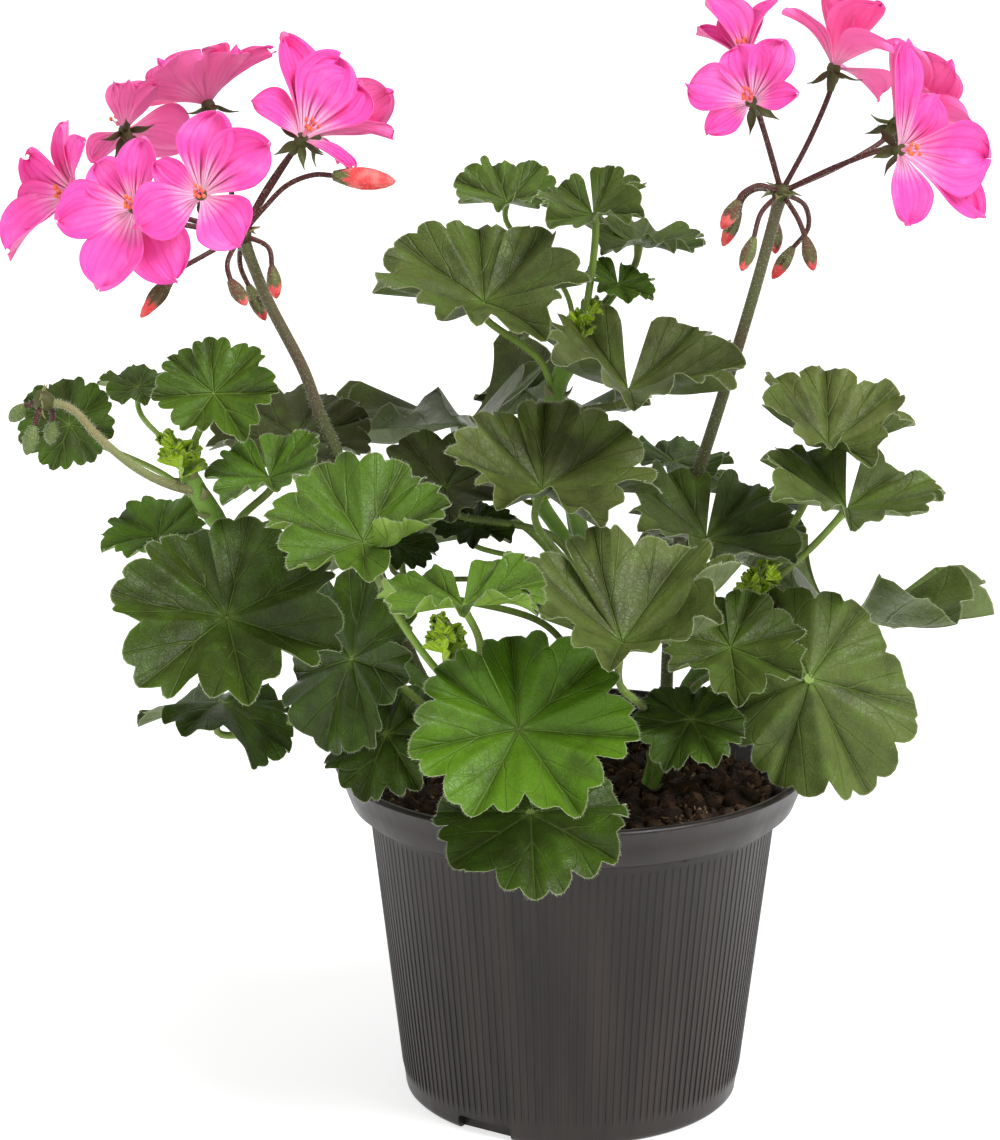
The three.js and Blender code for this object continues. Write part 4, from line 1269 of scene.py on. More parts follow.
@dataclass(frozen=True)
class Flower:
    """An open flower: pedicel, calyx, five petals and stamens.

    Attributes:
        name: what it is called.
        throat: where the petals meet.
        face: the way the flower looks.
        umbel: the peduncle that carries it.
        petals: the offset of each petal's tip from the throat and its width as a share of its length.
    """

    name: str
    throat: Point
    face: Point
    umbel: str
    petals: list[tuple[float, float, float, float]]

    def petal(self, number: int, shop: Workshop) -> Patch:
        """Returns one petal; the first two are the upper, veined ones."""
        x, y, z, wide = self.petals[number]
        length = math.sqrt(x * x + y * y + z * z)
        along = np.array([x, y, z]) / length
        face = unit(np.array(self.face, float))
        face = unit(face - (face @ along) * along)
        side = np.cross(face, along)
        reach = 1 - (1 - np.linspace(0, 1, 26)[:, None]) ** 1.9
        across = np.linspace(-1, 1, 19)[None, :]
        widest = 0.62
        swell = np.minimum(reach / widest, 1)
        low = 0.13 + 0.87 * swell**1.5 * (2.2 - 1.2 * swell)
        high = np.sqrt(np.maximum(1 - ((reach - widest) / (1 - widest)) ** 2, 0.001))
        half = np.where(reach < widest, low, high) * wide * length / 2
        seed = sum(abs(c) for c in self.throat) + number * 7
        phase = [2 * math.pi * chance(seed, k) for k in range(6)]
        arch = 0.08 * length * 4 * reach * (1 - reach) + 0.35 * half * across**2
        wave = 0.055 * length * reach**2 * np.sin(across * 3.4 + phase[0])
        wave = wave + 0.028 * length * reach**2 * np.sin(across * 7.5 + reach * 3 + phase[1])
        wave = wave + 0.03 * length * np.abs(across) ** 2 * np.sin(reach * 9 + phase[2] + across) * reach
        crease = 0.18 * np.sin(across * 13 + phase[3]) * reach * (1 - np.abs(across) ** 2)
        notch = 0.035 * np.cos(across * 4 + phase[4]) + 0.02 * np.sin(across * 9 + phase[5])
        drift = 0.05 * length * math.sin(phase[5]) * np.sin(math.pi * reach)
        run = 0.8 + reach * (1 - notch * reach**6) * (length - 0.8)
        middle = (
            np.array(self.throat, float)
            + along * run[..., None]
            + side * (half * across + drift)[..., None]
            + face * (arch + wave + crease)[..., None]
        )
        square = normals(middle)
        thick = 0.16 * (1 - 0.5 * reach)[..., None]
        uv = np.stack(np.broadcast_arrays((across + 1) / 2, reach), axis=-1)
        upper, lower = middle + square * thick, middle - square * thick
        return sheet(upper, lower, uv, shop.finishes["petal"], veined=float(number < 2))

    def stamens(self, throat: np.ndarray, face: np.ndarray, seat: np.ndarray, shop: Workshop) -> list[Patch]:
        """Makes seven filaments, each with its anther.

        Args:
            throat: where the petals meet.
            face: the way the flower looks.
            seat: a direction square to the face.
            shop: the finishes and the tools.

        Returns:
            The filaments as one patch, and then each anther.
        """
        lines = []
        for k in range(7):
            spoke = turned(seat, face, 360 / 7 * k)
            tip = throat + face * (4.2 + 2.2 * chance(k, 3)) + spoke * (0.9 + 1.2 * chance(k, 5))
            path = [tuple(throat - face), tuple(throat + face * 2.4 + spoke * 0.5), tuple(tip)]
            lines.append(smooth_line(path, 0.8))
        made = shop.stalks(lines, [np.full(len(line), 0.2) for line in lines], "filament", 6)
        grain = np.array([[0, -0.8], [0.42, -0.5], [0.5, 0], [0.42, 0.5], [0, 0.8]])
        for k, line in enumerate(lines):
            way = turned(face, seat, 50 * chance(k, 8))
            made.append(turned_solid(line[-1], way, grain, 7, shop.finishes["anther"]))
        return made

    def piece(self, shop: Workshop) -> "Piece":
        """Returns the whole flower."""
        hub = next(p.stalk[-1] for p in PEDUNCLES if p.name == self.umbel)
        face = unit(np.array(self.face, float))
        throat = np.array(self.throat, float)
        back = throat - 6 * face
        bend = back + (np.array(hub, float) - back) * 0.4 - 2.3 * face
        line = smooth_line([hub, tuple(bend), tuple(back), tuple(back + 2.3 * face)], 1.0)
        radii = swollen(line, 0.72, [0.0], 0.3, 2.0)
        patches = shop.stalks([line], [radii], "pedicel", 8, 1.6)
        cup = np.array([[0, -0.5], [0.9, -0.1], [1.25, 1.5], [1.5, 4.0], [1.9, 5.6], [1.5, 7.0], [0, 7.1]])
        patches.append(turned_solid(back, face, cup, 12, shop.finishes["sepal"]))
        seat = unit(np.cross(face, [0.2, 0.1, 0.97]))
        for k in range(5):
            spoke = turned(seat, face, 72 * k + 25)
            tilt = 40 * chance(sum(self.throat), k)
            base = throat - 1.6 * face + spoke * 1.1
            tip = base + 6.8 * turned(spoke, np.cross(face, spoke), tilt)
            patches.append(flap(base, tip, face, 2.6, 0.12, shop.finishes["sepal"]))
        patches += [self.petal(k, shop) for k in range(5)]
        patches += self.stamens(throat, face, seat, shop)
        return Piece(f"{self.name}_flower", f"flower_{self.name}", "petal", patches)


@dataclass(frozen=True)
class Peduncle:
    """The stalk of an umbel, with its hub and the buds that haven't opened.

    Attributes:
        name: its node.
        on: the stem that carries it and how far along, as a share.
        stalk: points from the stem to the hub.
        buds: for each bud the points of its stalk; the last two are its base and its tip.
        young: whether it is still green, with small shut buds.
    """

    name: str
    on: tuple[str, float]
    stalk: list[Point]
    buds: list[list[Point]]
    young: bool = False

    HUB = ((0, -3.2), (1.6, -2.6), (2.5, -1.0), (2.9, 0.6), (2.0, 2.0), (0, 2.4))
    BUD = (
        (0, -0.1), (0.45, -0.06), (0.62, 0.05), (0.86, 0.22), (1, 0.42), (0.93, 0.62), (0.62, 0.84),
        (0.3, 0.95), (0, 1),
    )
    OPENING = 13

    def bud(self, number: int, shop: Workshop) -> list[Patch]:
        """Returns one bud with its five sepals; one longer than OPENING is about to open."""
        base, tip = np.array(self.buds[number][-2:], float)
        length = float(np.linalg.norm(tip - base))
        axis = (tip - base) / length
        if length > self.OPENING:
            wide, cover, coral = 2.9, 0.4, 0.9
        else:
            wide, cover, coral = 1.95, 0.78, -0.15 + 0.45 * chance(number, 6)
        if self.young:
            coral = -0.8
        shape = np.array(self.BUD) * [wide, length]
        made = [turned_solid(base, axis, shape, 15, shop.finishes["bud"], coral=coral)]
        seat = unit(np.cross(axis, [0.5, 0.4, 0.3]))
        for k in range(5):
            spoke = turned(seat, axis, 72 * k)
            foot = base + axis * 0.03 * length + spoke * wide * 0.45
            end = base + axis * length * cover + spoke * wide * 0.72
            made.append(flap(foot, end, -spoke, wide * 1.1, 0.14, shop.finishes["sepal"]))
        return made

    def piece(self, shop: Workshop) -> "Piece":
        """Returns the whole peduncle."""
        stem = smooth_line(STEMS[self.on[0]][1], 1.0)
        start = stem[round(self.on[1] * (len(stem) - 1))]
        line = smooth_line([tuple(start), *self.stalk], 1.2)
        if self.young:
            foot, top, finish, hair, bracts, size = 1.25, 0.9, "stipule", 3.5, 6, 0.8
        else:
            foot, top, finish, hair, bracts, size = 1.75, 1.5, "peduncle", 2.0, 9, 1.1
        radius = np.linspace(foot, top, len(line)) * swollen(line, 1.0, [0.0, 1.0], 0.3, 4.0)
        patches = shop.stalks([line], [radius], finish, 12, hair)
        axis = unit(line[-1] - line[-4])
        patches.append(turned_solid(line[-1], axis, np.array(self.HUB), 12, shop.finishes["sepal"]))
        seat = unit(np.cross(axis, [0.3, 0.9, 0.1]))
        for k in range(bracts):
            spoke = turned(seat, axis, 360 / 9 * k + 30 * chance(k, 2))
            base = line[-1] - axis * 0.8 + spoke * 1.7
            tip = base + (spoke * 3.4 - axis * (3.2 * chance(k, 4) - 1.2)) * size
            patches.append(flap(base, tip, axis, 2.1, -0.1, shop.finishes["stipule"]))
        lines = [smooth_line([self.stalk[-1], *bud[:-1]], 1.0) for bud in self.buds]
        patches += shop.stalks(lines, [swollen(b, 0.68, [0.0], 0.4, 2.0) for b in lines], "pedicel", 8, 2.0)
        for number in range(len(self.buds)):
            patches += self.bud(number, shop)
        skins = [p for p in patches if p.material == shop.finishes["bud"]]
        patches += [shop.fur(skin, density=2.0, length=0.8, seed=5) for skin in skins]
        side = self.name.removeprefix("peduncle_")
        return Piece(f"{side}_peduncle", self.name, "peduncle_skin", patches)


@dataclass(frozen=True)
class Stem:
    """A stem from the compost to its growing tip, with stipules where leaves leave it.

    Attributes:
        name: its node.
        radius: its thickness halved.
        points: what it passes.
        shoot: the length of the young leaves folded at its tip.
    """

    name: str
    radius: float
    points: list[Point]
    shoot: float = 7

    def piece(self, shop: Workshop) -> "Piece":
        """Returns the whole stem."""
        line = smooth_line(self.points, 1.5)
        joints = [leaf.on[1] for leaf in LEAVES if leaf.on[0] == self.name]
        radii = swollen(line, self.radius * 0.94, joints, 0.16, 2.5)
        radii[-2:] *= [0.85, 0.6]
        patches = shop.stalks([line], [radii], "stem", 16, 0.7)
        for number, share in enumerate(joints):
            at = min(round(share * (len(line) - 1)), len(line) - 2)
            growth = unit(line[at + 1] - line[at])
            seat = unit(np.cross(growth, [0.2, 0.95, 0.1]))
            for half in (0, 1):
                spoke = turned(seat, growth, GOLDEN_ANGLE * number + 150 * half)
                base = line[at] + spoke * self.radius * 0.85
                tip = base + spoke * 2.6 + growth * 4.2
                patches.append(flap(base, tip, -spoke, 3.6, 0.12, shop.finishes["stipule"]))
        growth = unit(line[-1] - line[-4])
        seat = unit(np.cross(growth, [0.3, 0.9, 0.2]))
        for k in range(6):
            spoke = turned(seat, growth, GOLDEN_ANGLE * k)
            at = line[-1] + spoke * 1.6 + growth * (1.9 * k - 1.5)
            heading = math.degrees(math.atan2(spoke[1], spoke[0]))
            size = self.shoot * (1.25 - 0.13 * k)
            bend = Bend(50, 12, 51 + k, fold=-20, ruffle=8)
            young = Leaf("young", tuple(at), size, heading, 48, 0, bend, (self.name, 1.0), -0.8)
            patches += young.blade(shop)
            stalk = np.array([line[-2], (line[-2] + at) / 2, at])
            patches += shop.stalks([stalk], [np.full(3, 0.55)], "petiole", 8)
        side = self.name.removeprefix("stem_")
        return Piece(f"{side}_stem", self.name, "stem_skin", patches)


# Where everything is: judged from the picture, and guessed where the plant hides it


STEMS = {
    "stem_centre": (2.6, [(4, 8, 80), (6, 12, 120), (3, 10, 150), (-4, 5, 180), (-5, 5, 194), (2, 12, 209)]),
    "stem_left": (
        2.5,
        [(-12, 2, 80), (-34, -8, 112), (-62, -22, 138), (-82, -32, 152), (-92, -36, 169), (-101, -37, 184)],
    ),
    "stem_front": (2.3, [(-10, -20, 80), (-18, -38, 100), (-25, -50, 114), (-29, -57, 128), (-33, -61, 142)]),
    "stem_right": (2.5, [(18, -6, 80), (28, -9, 110), (38, -12, 130), (48, -15, 145)]),
    "stem_back": (2.3, [(2, 30, 80), (6, 36, 112), (2, 40, 138), (-10, 40, 158)]),
}

LEAVES = [
    Leaf("top_left", (-18, 31, 242), 16, 105, 18, -4, Bend(19, 1, 3, ruffle=6),
         ("stem_centre", 0.97), 0.3, bloom=0.3),
    Leaf("top_right", (5, 14, 241), 18, -87, -22, 10, Bend(26, 0, 5, ruffle=8, gap=6),
         ("stem_centre", 0.98), 0.35, bloom=0.35),
    Leaf("top_back", (18, 34, 230), 19, 28, -6, 7, Bend(8, 4, 7, ruffle=8),
         ("stem_centre", 0.93), 0.45, bloom=0.3),
    Leaf("upper_left", (-24, 0, 220), 32, -112, -22, -7, Bend(24, 0, 2),
         ("stem_centre", 0.86), 0.55, bloom=0.52),
    Leaf("upper_small", (12, 20, 221), 11, -79, -26, -12, Bend(22, -5, 4, ruffle=6, gap=9),
         ("stem_centre", 0.95), 0.25),
    Leaf("upper_right", (14, -6, 198), 34, -92, -12, -10, Bend(22, 5, 8, gap=12),
         ("stem_centre", 0.78), 0.8, bloom=0.62),
    Leaf("back_big", (-30, 40, 178), 40, 177, 7, 19, Bend(3, -3, 9, curl=78, ruffle=7, pleat=13, gap=4),
         ("stem_back", 0.97), 0.75, bloom=0.5),
    Leaf("dark_left", (-74, 6, 182), 25, -178, 0, -17, Bend(9, -2, 11), ("stem_back", 0.6), 0.85),
    Leaf("left_top", (-93, -34, 203), 18, -51, -38, 24, Bend(17, 3, 12), ("stem_left", 0.97), 0.28),
    Leaf("left_back", (-116, 2, 197), 11, -175, 0, -15, Bend(9, -1, 13, ruffle=7), ("stem_left", 0.93), 0.3),
    Leaf("far_left", (-131, -26, 193), 14, 166, 30, -54, Bend(6, -6, 14, ruffle=6), ("stem_left", 0.9), 0.35),
    Leaf("left_small", (-109, -22, 162), 16, 137, 4, -22, Bend(19, -5, 15), ("stem_left", 0.74), 0.1),
    Leaf("left_mid", (-79, -35, 181), 18, -77, -16, 18, Bend(22, 0, 16, gap=4), ("stem_left", 0.83), 0.2),
    Leaf("front_left", (-54, -66, 172), 26, 120, 22, -15, Bend(17, 3, 17, flap=(-1, 95, 0.24)),
         ("stem_front", 0.8), 0.22, [(-40, -61, 143), (-48, -64, 157)], bloom=0.1),
    Leaf("left_low", (-89, -57, 150), 33, -74, -38, 8, Bend(14, 3, 18), ("stem_left", 0.5), 0.6),
    Leaf("left_low_2", (-58, -40, 134), 27, 140, -22, -69, Bend(5, -5, 19), ("stem_front", 0.5), 0.5),
    Leaf("low_left", (-93, -22, 117), 24, -112, 2, -10, Bend(-6, -8, 20, fold=-14), ("stem_left", 0.2), 0.55),
    Leaf("low_left_2", (-49, -44, 115), 19, -126, -44, -4, Bend(1, -5, 21), ("stem_front", 0.25), 0.5),
    Leaf("mid_left", (-34, -12, 173), 23, 170, -2, -19, Bend(12, 0, 22),
         ("stem_centre", 0.46), 0.8, bloom=0.15),
    Leaf("mid_low", (-27, 2, 159), 13, -90, -18, -5, Bend(11, 0, 37), ("stem_centre", 0.4), 0.6),
    Leaf("mid_left_2", (-48, 6, 153), 13, -104, -18, -8, Bend(6, -6, 23), ("stem_back", 0.45), 0.65),
    Leaf("centre", (-9, -27, 176), 32, -63, -24, 0, Bend(23, 3, 24), ("stem_centre", 0.3), 0.85, bloom=0.6),
    Leaf("centre_right", (35, -9, 158), 29, -92, -18, -16, Bend(22, 2, 25, gap=3),
         ("stem_right", 0.7), 0.6, bloom=0.35),
    Leaf("behind_right", (28, 30, 170), 17, 57, -3, 9, Bend(9, -2, 26, ruffle=9), ("stem_back", 0.35), 0.5),
    Leaf("front_centre", (11, -63, 145), 38, -45, -15, 9, Bend(28, 5, 27, pleat=2.5, flap=(0.2, 50, 0.12)),
         ("stem_right", 0.1), 0.72, bloom=0.7),
    Leaf("below_centre", (40, -36, 136), 22, -87, -27, -1, Bend(10, 2, 28),
         ("stem_right", 0.4), 0.5, bloom=0.3),
    Leaf("right_top", (67, -6, 183), 26, 92, 16, 8, Bend(30, 0, 29, ruffle=7),
         ("stem_right", 0.95), 0.45, bloom=0.95),
    Leaf("right_mid", (71, -20, 169), 28, -96, -12, -10, Bend(23, 0, 30, gap=9), ("stem_right", 0.93), 0.45,
         [(55, -17, 151), (63, -18, 159)], bloom=0.55),
    Leaf("right_fold", (76, 22, 127), 41, 3, 7, -17, Bend(0, 5, 33, curl=70, pleat=13, gap=4),
         ("stem_right", 0.35), 0.5, bloom=0.5),
    Leaf("right_droop", (61, -34, 127), 36, -30, -48, 38, Bend(-16, -2, 32, twist=18, wide=0.76, ruffle=4),
         ("stem_right", 0.55), 0.45, bloom=0.6),
    Leaf("young_pair", (-29, -75, 158), 23, -90, -5, 4, Bend(20, -2, 33, ruffle=8.5, gap=10),
         ("stem_front", 0.65), 0.08, [(-25, -64, 136), (-25, -70, 148)], bloom=0.2),
    Leaf("front_low", (-15, -78, 127), 31, -53, -36, 24, Bend(11, 3, 34, ruffle=4, pleat=7, gap=-1),
         ("stem_front", 0.35), 0.1),
    Leaf("rim_leaf", (-12, -70, 102), 27, -88, -24, 2, Bend(1, -3, 35), ("stem_front", 0.25), 0.5,
         [(-14, -48, 99), (-13, -60, 101)]),
    Leaf("small_right", (30, -38, 117), 16, -124, -29, -15, Bend(2, -6, 36, ruffle=6),
         ("stem_right", 0.2), 0.4),
    Leaf("back_low_left", (-48, 52, 138), 27, 130, -25, 0, Bend(12, -4, 41), ("stem_back", 0.3), 0.5),
    Leaf("back_low_right", (42, 56, 136), 26, 55, -22, 0, Bend(10, -4, 42), ("stem_back", 0.2), 0.5),
    Leaf("back_mid", (-2, 62, 176), 28, 85, -18, 0, Bend(14, -2, 43), ("stem_back", 0.7), 0.6),
    Leaf("back_right", (52, 34, 158), 22, 40, -10, 0, Bend(12, -3, 44), ("stem_back", 0.55), 0.5),
]

PEDUNCLES = [
    Peduncle("peduncle_left", ("stem_left", 0.35),
             [(-57, -8, 162), (-63, -8, 182), (-67, -10, 192),
              (-71, -14, 205), (-80, -19, 225), (-86, -22, 242)],
             [
                 [(-80, -23, 249), (-74, -24, 255), (-67, -26, 258), (-61, -28, 258), (-46, -31, 257)],
                 [(-95, -30, 238), (-101, -34, 235), (-103, -35, 233), (-111, -36, 223)],
                 [(-89, -32, 236), (-88, -34, 232), (-84, -35, 226)],
                 [(-87, -13, 232), (-85, -10, 226), (-81, -9, 217)],
                 [(-79, -24, 239), (-78, -26, 234), (-77, -26, 226)],
             ]),
    Peduncle("peduncle_right", ("stem_right", 0.3),
             [(27, 8, 140), (31, 10, 164), (35, 6, 178), (39, 2, 193), (47, -6, 225), (53, -10, 251)],
             [
                 [(46, -18, 254), (42, -20, 252), (41, -20, 250), (37, -20, 243)],
                 [(47, 1, 250), (44, 4, 247), (43, 5, 243), (39, 6, 234)],
                 [(47, -20, 247), (45, -24, 241), (42, -25, 233)],
                 [(52, 2, 246), (53, 6, 240), (53, 6, 232)],
                 [(60, -2, 246), (61, 0, 240), (57, 2, 234), (52, 2, 226)],
                 [(57, -16, 245), (59, -18, 240), (61, -19, 232)],
             ]),
    Peduncle("peduncle_buds", ("stem_left", 0.95),
             [(-104, -42, 181), (-112, -45, 186), (-121, -46, 194), (-128, -47, 202), (-135, -47, 204)],
             [
                 [(-138, -46, 203), (-140, -45, 202), (-144, -44, 198)],
                 [(-136, -50, 201), (-137, -51, 198), (-139, -52, 191)],
                 [(-133, -46, 201), (-133, -45, 198), (-134, -44, 192)],
             ],
             young=True),
]

FLOWERS = [
    Flower("left_1", (-70, -24, 267), (0.45, -0.55, 0.7), "peduncle_left",
           [(-5, 10, 25, 0.48), (9, 10, 19, 0.7), (14, 10, 13, 0.9), (-12, -4, 10, 0.8), (13, -4, -7, 0.35)]),
    Flower("left_2", (-96, 4, 272), (-0.3, 0.5, 0.8), "peduncle_left",
           [(0, -14, 15, 0.9), (17, -2, 14, 0.46), (9, -10, 15, 0.7), (-20, -6, 1, 0.74),
            (-11, -14, 12, 0.72)]),
    Flower("left_3", (-94, -46, 256), (-0.05, -0.95, 0.3), "peduncle_left",
           [(4, 2, 20, 0.7), (17, -2, 13, 0.76), (-11, 0, 8, 0.62), (-16, -6, -7, 0.84),
            (10, -8, -11, 0.95)]),
    Flower("left_4", (-111, -42, 252), (-0.2, -0.9, 0.4), "peduncle_left",
           [(-10, 4, 11, 0.74), (2, 3, 17, 0.62), (-19, -2, -3, 0.82), (-8, -12, -18, 0.7),
            (11, -11, -16, 0.74)]),
    Flower("left_5", (-127, -26, 253), (-0.9, -0.35, 0.15), "peduncle_left",
           [(-4, 8, 17, 0.6), (-14, 10, 8, 0.7), (3, -10, 15, 0.7), (-16, 8, -6, 0.7), (-18, -2, -15, 0.85)]),
    Flower("left_6", (-117, -4, 266), (-0.35, 0.8, 0.45), "peduncle_left",
           [(-2, -4, 13, 0.4), (-9, 4, -8, 0.7), (8, 0, 12, 0.7), (16, 12, -6, 0.85), (2, -3, 13, 0.6)]),
    Flower("left_7", (-68, 2, 264), (0.8, 0.3, 0.5), "peduncle_left",
           [(20, 2, 11, 0.7), (20, 0, 0, 0.35), (7, -4, 18, 0.7), (-4, 2, 20, 0.7), (6, 6, -8, 0.6)]),
    Flower("right_1", (44, -24, 276), (-0.3, -0.8, 0.5), "peduncle_right",
           [(-3, 6, 14, 0.85), (8, 2, 15, 0.75), (-16, 4, 4, 0.78), (-11, -4, -7, 0.66), (11, -6, 3, 0.6)]),
    Flower("right_2", (44, 0, 283), (-0.25, 0.1, 0.95), "peduncle_right",
           [(-10, 6, 16, 0.8), (8, 6, 16, 0.7), (-12, 10, 7, 0.5), (-2, 13, 12, 0.7), (9, 12, 2, 0.6)]),
    Flower("right_3", (66, -8, 283), (0.15, 0.15, 1.0), "peduncle_right",
           [(-13, -5, 15, 0.42), (-3, 0, 19, 0.8), (10, -6, 17, 0.95), (14, -14, 7, 0.85),
            (13, 12, -9, 0.7)]),
    Flower("right_4", (84, 10, 266), (0.5, 0.6, 0.6), "peduncle_right",
           [(2, -5, 22, 0.6), (13, -7, 17, 0.8), (10, -10, 8, 0.7), (20, -5, 0, 0.7), (4, 14, 7, 0.5)]),
    Flower("right_5", (81, -30, 265), (0.55, -0.8, 0.1), "peduncle_right",
           [(0, -5, 27, 0.36), (9, 4, 13, 0.85), (23, 5, -3, 0.82), (2, -6, -18, 0.72), (21, 2, -17, 0.4)]),
]


# Pot and compost


@dataclass(frozen=True)
class Pot:
    """The grow pot: a turned wall with a lip, fine ribs, a drainage channel and notches in the foot.

    Attributes:
        height: from the ground to the top of the lip.
        foot: the radius of the wall at the ground.
        neck: the radius of the wall below the lip.
        lip: the radius that the lip is measured from, just outside its top.
        lip_low: the radius of the lip's lower edge.
        lip_height: from that edge to the top.
        floor: the height of the floor inside.
        channel: the height of the hollow under the floor that carries the water off.
        sides: how many faces go round.
        ribs: how many ribs there are.
        holes: how many drainage holes there are.
        hole_radius: the radius of each.
        hole_ring: the radius of the ring they stand on.
        notches: how many notches the foot has.
        notch_turn: the place of the first, in degrees from X towards Y.
        notch_width: the width of each.
        notch_height: how high each reaches.
    """

    height: float = 95
    foot: float = 46
    neck: float = 55.5
    lip: float = 65
    lip_low: float = 60.5
    lip_height: float = 11.5
    floor: float = 5.4
    channel: float = 4
    sides: int = 180
    ribs: int = 150
    holes: int = 6
    hole_radius: float = 3.2
    hole_ring: float = 32
    notches: int = 3
    notch_turn: float = -122
    notch_width: float = 16.5
    notch_height: float = 4.4

    def profile(self) -> np.ndarray:
        """Returns radius and height, from the axis under the base round to the axis above it."""
        low = self.height - self.lip_height
        outer = [
            (0, 0), (23.5, 0), (24.3, 0.4), (25, self.channel - 0.6), (25.8, self.channel),
            (38.2, self.channel), (39, self.channel - 0.6), (39.7, 0.4), (40.5, 0), (self.foot - 2, 0),
            (self.foot - 1, 0.25), (self.foot - 0.25, 1), (self.foot, 2), (50.7, low / 2),
            (self.neck, low - 1.4), (self.neck + 0.6, low - 0.7), (self.lip_low - 0.9, low - 0.25),
            (self.lip_low, low + 0.5), (self.lip - 2.6, low + 5.5), (self.lip - 0.7, self.height - 1.3),
            (self.lip - 0.15, self.height - 0.9), (self.lip - 0.3, self.height - 0.3),
            (self.lip - 0.9, self.height),
        ]
        inner = [
            (self.lip - 1.9, self.height), (self.lip - 2.4, self.height - 0.4), (self.lip - 4.4, low + 5.5),
            (58.3, low + 3), (54.8, low + 0.6), (54.0, low - 1.5), (49.3, low / 2),
            (44.9, self.floor + 1.6), (43.8, self.floor + 0.2), (42, self.floor), (0, self.floor),
        ]
        return np.array(outer + inner, float)

    def cutters(self, finish: bpy.types.Material) -> list[Patch]:
        """Returns what is taken out of the wall: the drainage holes and the notches in the foot."""
        made = []
        for k in range(self.holes):
            angle = math.radians(360 / self.holes * k + 30)
            drill = np.array([[0, -6], [self.hole_radius, -6], [self.hole_radius, 12], [0, 12]], float)
            middle = np.array([self.hole_ring * math.cos(angle), self.hole_ring * math.sin(angle), 0])
            made.append(turned_solid(middle, UP, drill, 32, finish))
        half, top = self.notch_width / 2, self.notch_height
        right = [(half, -3), (half, top - 1.2), (half - 0.35, top - 0.4), (half - 1.15, top)]
        arch = [(-half, -3), *right, *[(-across, z) for across, z in right[:0:-1]]]
        for k in range(self.notches):
            angle = math.radians(360 / self.notches * k + self.notch_turn)
            out = np.array([math.cos(angle), math.sin(angle), 0])
            side = np.cross(UP, out)
            reach = (self.foot + 4, self.foot - 4)
            points = [out * r + side * across + UP * z for r in reach for across, z in arch]
            made.append(Patch(np.array(points), *tube_faces(2, len(arch)), finish))
        return made

    def rib(self, finish: bpy.types.Material) -> Patch:
        """Returns one upright rib, which swells from the wall and ends below the lip."""
        low = self.height - self.lip_height - 1.6
        lean = (self.neck - self.foot) / low
        heights = [5.0, 8.0, low - 3, low]
        sunk = [-0.28, 0.0, 0.0, -0.28]
        half = [(-0.46, -0.4), (-0.40, -0.07), (-0.33, -0.035), (-0.16, 0.018)]
        ring = half + [(-y, out) for y, out in half[::-1]]
        wall = self.foot + 0.05
        points = [(wall + z * lean + s + out, y, z) for z, s in zip(heights, sunk) for y, out in ring]
        return Patch(np.array(points), *tube_faces(len(heights), len(ring)), finish)

    def piece(self, shop: Workshop) -> "Piece":
        """Returns the whole pot."""
        finish = shop.finishes["pot"]
        shell = turned_solid(np.zeros(3), UP, self.profile(), self.sides, finish)
        ribs = shop.ring.run(self.rib(finish).mesh("rib"), finish, Count=self.ribs)
        return Piece("grow_pot", "pot", "pot_plastic", [carved(shell, self.cutters(finish)), ribs])


def carved(body: Patch, cutters: list[Patch]) -> Patch:
    """Returns a body with the cutters taken out of it."""
    block = bpy.data.objects.new("body", body.mesh("body"))
    knife = bpy.data.objects.new("knife", joined("knife", cutters))
    for made in (block, knife):
        bpy.context.scene.collection.objects.link(made)
    modifier = block.modifiers.new("cut", "BOOLEAN")
    modifier.operation = "DIFFERENCE"
    modifier.solver = "EXACT"
    modifier.object = knife
    depsgraph = bpy.context.evaluated_depsgraph_get()
    mesh = bpy.data.meshes.new_from_object(block.evaluated_get(depsgraph), depsgraph=depsgraph)
    left = Patch.read(mesh, body.material)
    block.modifiers.clear()
    for made in (block, knife):
        bpy.data.objects.remove(made)
    bpy.data.meshes.remove(mesh)
    return left


@dataclass(frozen=True)
class Litter:
    """One kind of bit that lies on the compost.

    Attributes:
        finish: the name of its finish.
        size: half its width.
        long: how many times longer than wide it is.
        density: how many lie on a square millimetre.
        smallest: the least size, as a share of size.
        largest: the greatest size, as a share of size.
        tilt: how far it may lean, in radians.
    """

    finish: str
    size: float
    long: float
    density: float
    smallest: float
    largest: float
    tilt: float

    PROFILE = ((0, -1.0), (0.72, -0.72), (1, 0), (0.72, 0.72), (0, 1.0))

    def lump(self, seed: int, shop: Workshop) -> bpy.types.Object:
        """Returns one rough lump of it."""
        rows = np.array(self.PROFILE) * self.size
        made = turned_solid(np.zeros(3), UP, rows, 6, shop.finishes[self.finish])
        rough = np.array([[chance(seed + k, j) for j in range(3)] for k in range(len(made.points))])
        made.points = made.points * (0.75 + 0.5 * rough) * [self.long, 1, 0.8]
        shown = bpy.data.objects.new("crumb", made.mesh("crumb"))
        bpy.context.scene.collection.objects.link(shown)
        return shown

    def over(self, ground: Patch, number: int, shop: Workshop) -> Patch:
        """Returns the bits of this kind, strewn over the ground; the number is their seed."""
        lump = self.lump(number * 11, shop)
        made = shop.scatter.run(
            ground.mesh("ground"),
            shop.finishes[self.finish],
            Density=self.density / MM**2,
            Seed=number,
            Smallest=self.smallest,
            Largest=self.largest,
            Tilt=self.tilt,
            Crumb=lump,
        )
        spent = lump.data
        bpy.data.objects.remove(lump)
        bpy.data.meshes.remove(spent)
        return made


